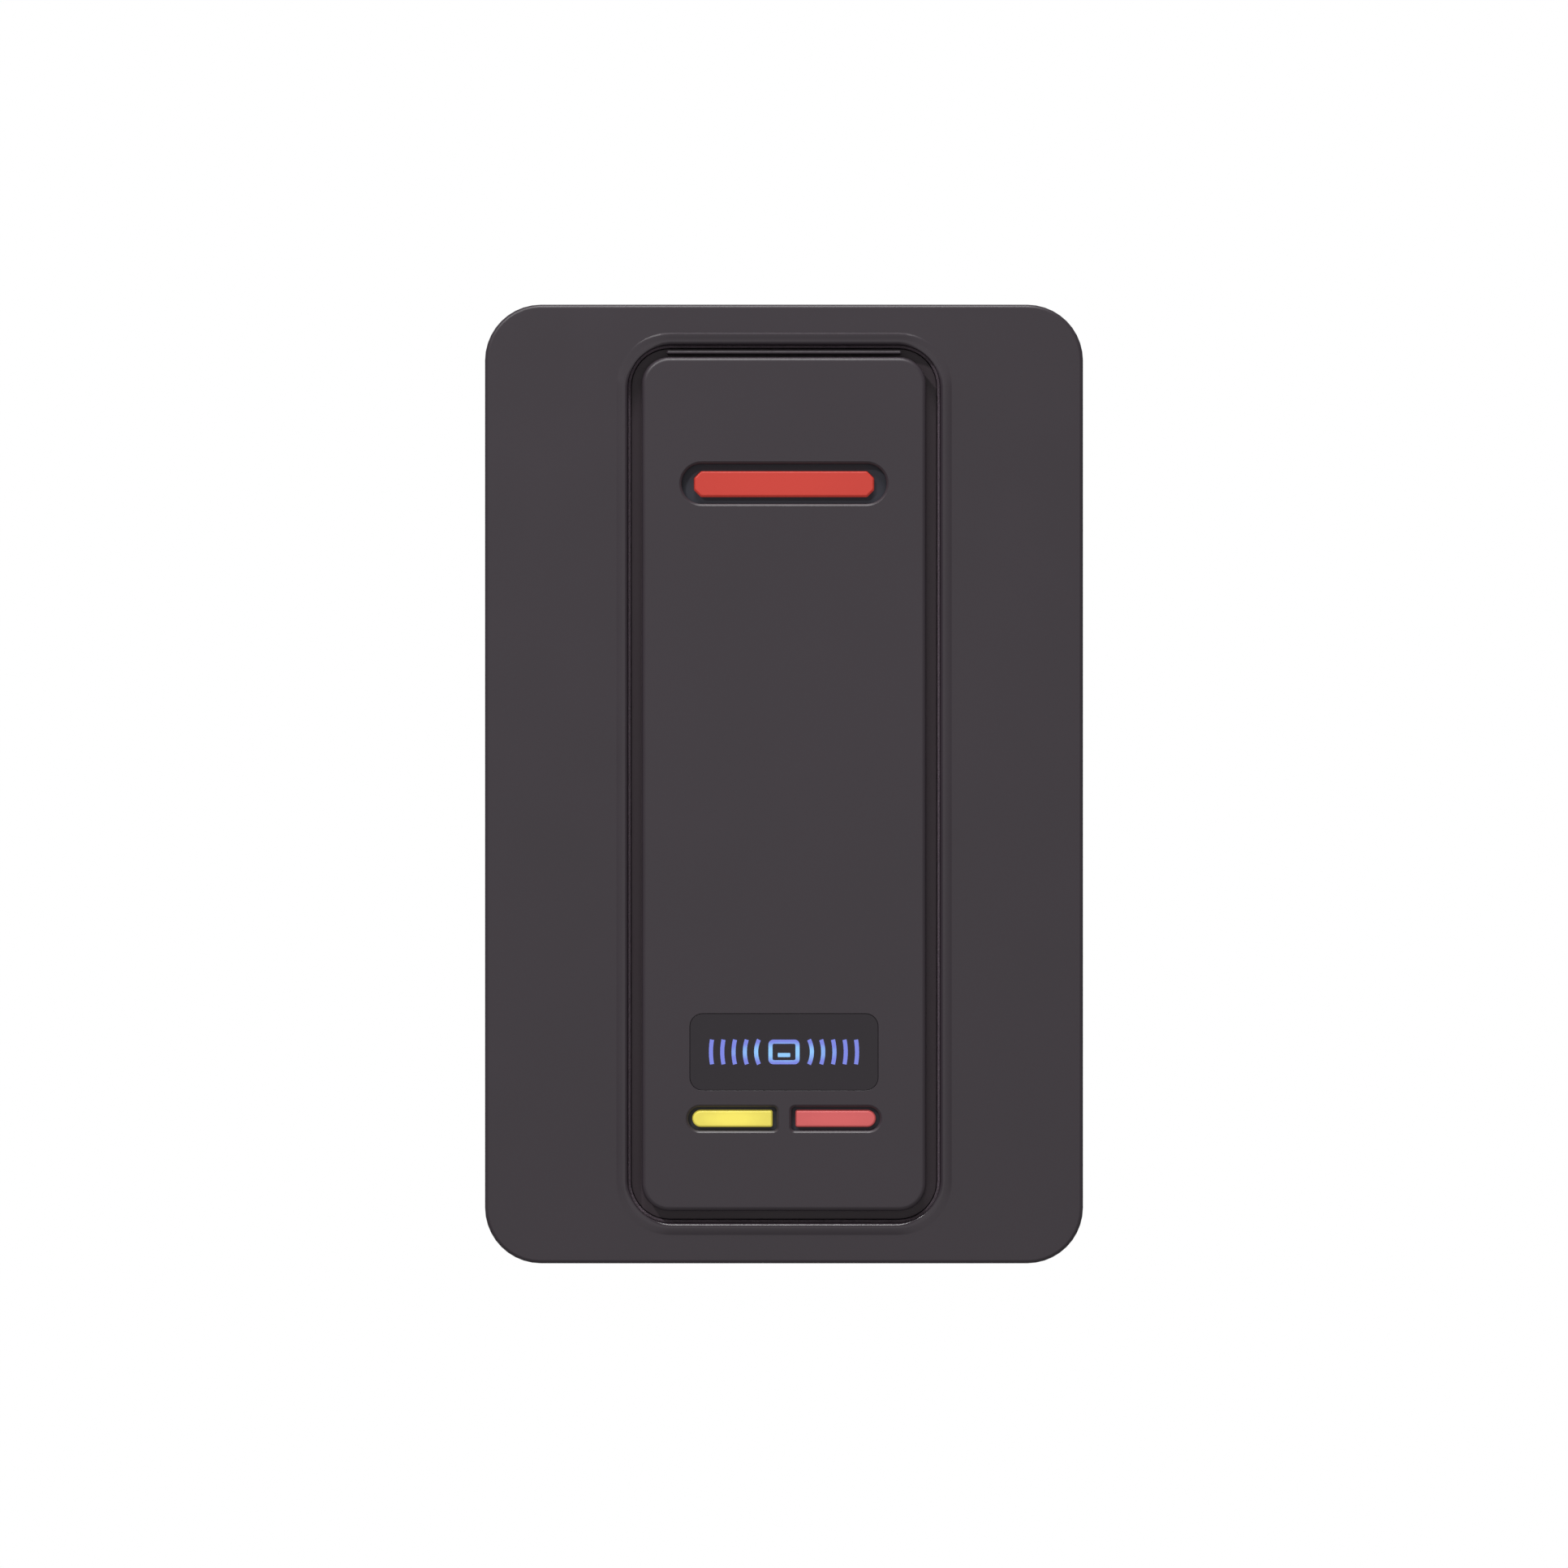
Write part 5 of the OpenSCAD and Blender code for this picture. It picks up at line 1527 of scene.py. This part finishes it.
    def led_fills(self) -> None:
        """Draw the domed phosphor in the cup of each light."""
        draft = Draft()
        for name in ("status_leds", "badge_leds", "left_led", "right_led"):
            for block in solids(name):
                draft.solid((circle(r, block.x, block.y, 24), block.hi[2] - drop) for r, drop in
                            ((0.8, 0.55), (1.1, 0.06), (0.75, 0.015), (0.35, 0.0)))
        draft.piece("led_phosphor", [LED_PHOSPHOR], Body.BASE, "led_white")

    def build(self) -> None:
        """Draw everything on the board."""
        self.pads()
        self.tracks()
        self.prints()
        self.can_tops()
        self.led_fills()


@dataclass
class CarriedOver:
    """The CAD nodes whose shape is right: each gets its finish."""

    finishes: dict[str, Finish]

    def dress(self) -> None:
        """Put each node's finish in its material slots."""
        for name, finish in self.finishes.items():
            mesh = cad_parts[name].data
            mesh.materials.clear()
            mesh.materials.append(finish.material())
            logging.info("%s: %s", name, finish.name)


# ---- Studio ----


@dataclass
class Studio:
    """Camera, soft light and pale floor."""

    lens_mm: float = 150.0
    sensor_mm: float = 36.0
    frame_mm: float = 191.6      # height that the picture spans at the reader's front
    front_plane_mm: float = 15.7
    floor_drop_m: float = 1.6
    floor_r_m: float = 12.0

    def camera(self) -> None:
        """Set the camera straight in front of the reader."""
        data = bpy.data.cameras.new("front_camera")
        data.lens, data.sensor_width = self.lens_mm, self.sensor_mm
        data.clip_start, data.clip_end = 0.01, 50
        camera = bpy.data.objects.new("front_camera", data)
        bpy.context.scene.collection.objects.link(camera)
        distance = self.frame_mm * MM * self.lens_mm / self.sensor_mm
        lo, hi = CAD_BOX
        camera.location = ((lo.x + hi.x) / 2, -self.front_plane_mm * MM - distance,
                           (lo.z + hi.z) / 2)
        camera.rotation_euler = (math.pi / 2, 0, 0)
        bpy.context.scene.camera = camera

    def softbox(self, name: str, place: Sequence[float], size: Point, power: float) -> None:
        """Hang a soft light that points at the reader.

        Args:
            name: The light's name.
            place: Its middle, in metres.
            size: Its width and height, in metres.
            power: Its power in watts.
        """
        data = bpy.data.lights.new(name, "AREA")
        data.shape, data.energy = "RECTANGLE", power
        data.size, data.size_y = size
        light = bpy.data.objects.new(name, data)
        light.location = place
        light.rotation_euler = (-Vector(place)).to_track_quat("-Z", "Y").to_euler()
        light.visible_camera = False
        bpy.context.scene.collection.objects.link(light)

    def floor(self) -> None:
        """Lay a round pale floor well below the reader."""
        mesh = bpy.data.meshes.new("pale_floor")
        grid = bmesh.new()
        bmesh.ops.create_circle(grid, cap_ends=True, segments=96, radius=self.floor_r_m)
        grid.to_mesh(mesh)
        grid.free()
        floor = bpy.data.objects.new("pale_floor", mesh)
        floor.location.z = -self.floor_drop_m
        bpy.context.scene.collection.objects.link(floor)
        mesh.materials.append(LitPaint("lit_white_paint", "#f7f7f6", 0.8).material())
        # The floor is part of the picture only: it throws no light back up at the reader.
        floor.visible_diffuse = floor.visible_glossy = False

    def world(self) -> None:
        """Light the room evenly: the backdrop is white, and what the reader mirrors is dimmer."""
        world = bpy.data.worlds.new("white_room")
        bpy.context.scene.world = world
        world.use_nodes = True
        tree = world.node_tree
        tree.nodes.clear()
        seen = add_node(tree, "LightPath").outputs["Is Camera Ray"]
        room, backdrop = (add_node(tree, "Background", {"Color": linear(WHITE), "Strength": power})
                          for power in (0.28, 1.0))
        mixed = add_node(tree, "MixShader",
                         links={0: seen, 1: room.outputs[0], 2: backdrop.outputs[0]})
        add_node(tree, "OutputWorld", links={"Surface": mixed.outputs[0]})

    def build(self) -> None:
        """Set up the whole studio."""
        bpy.context.scene.view_settings.view_transform = "Standard"
        self.camera()
        for name, place, size, power in (
                ("front_softbox", (0.0, -1.5, -0.1), (1.3, 1.1), 2.0),
                ("overhead_softbox", (-0.03, -0.45, 1.0), (0.4, 0.3), 7.0),
                ("upper_left_spot", (-0.59, -0.84, 0.81), (0.06, 0.06), 5.0)):
            self.softbox(name, place, size, power)
        self.floor()
        self.world()


def main() -> None:
    """Build the reader's looks in order and report each piece."""
    logging.basicConfig(level=logging.INFO, format="%(message)s")
    Studio().build()
    windows = Windows()
    TrimBezel().build()
    FaceCover().build(windows)
    windows.build()
    CarriedOver(CARRIED_OVER).dress()
    Antenna().build()
    BoardDetails().build()


if __name__ == "__main__":
    main()
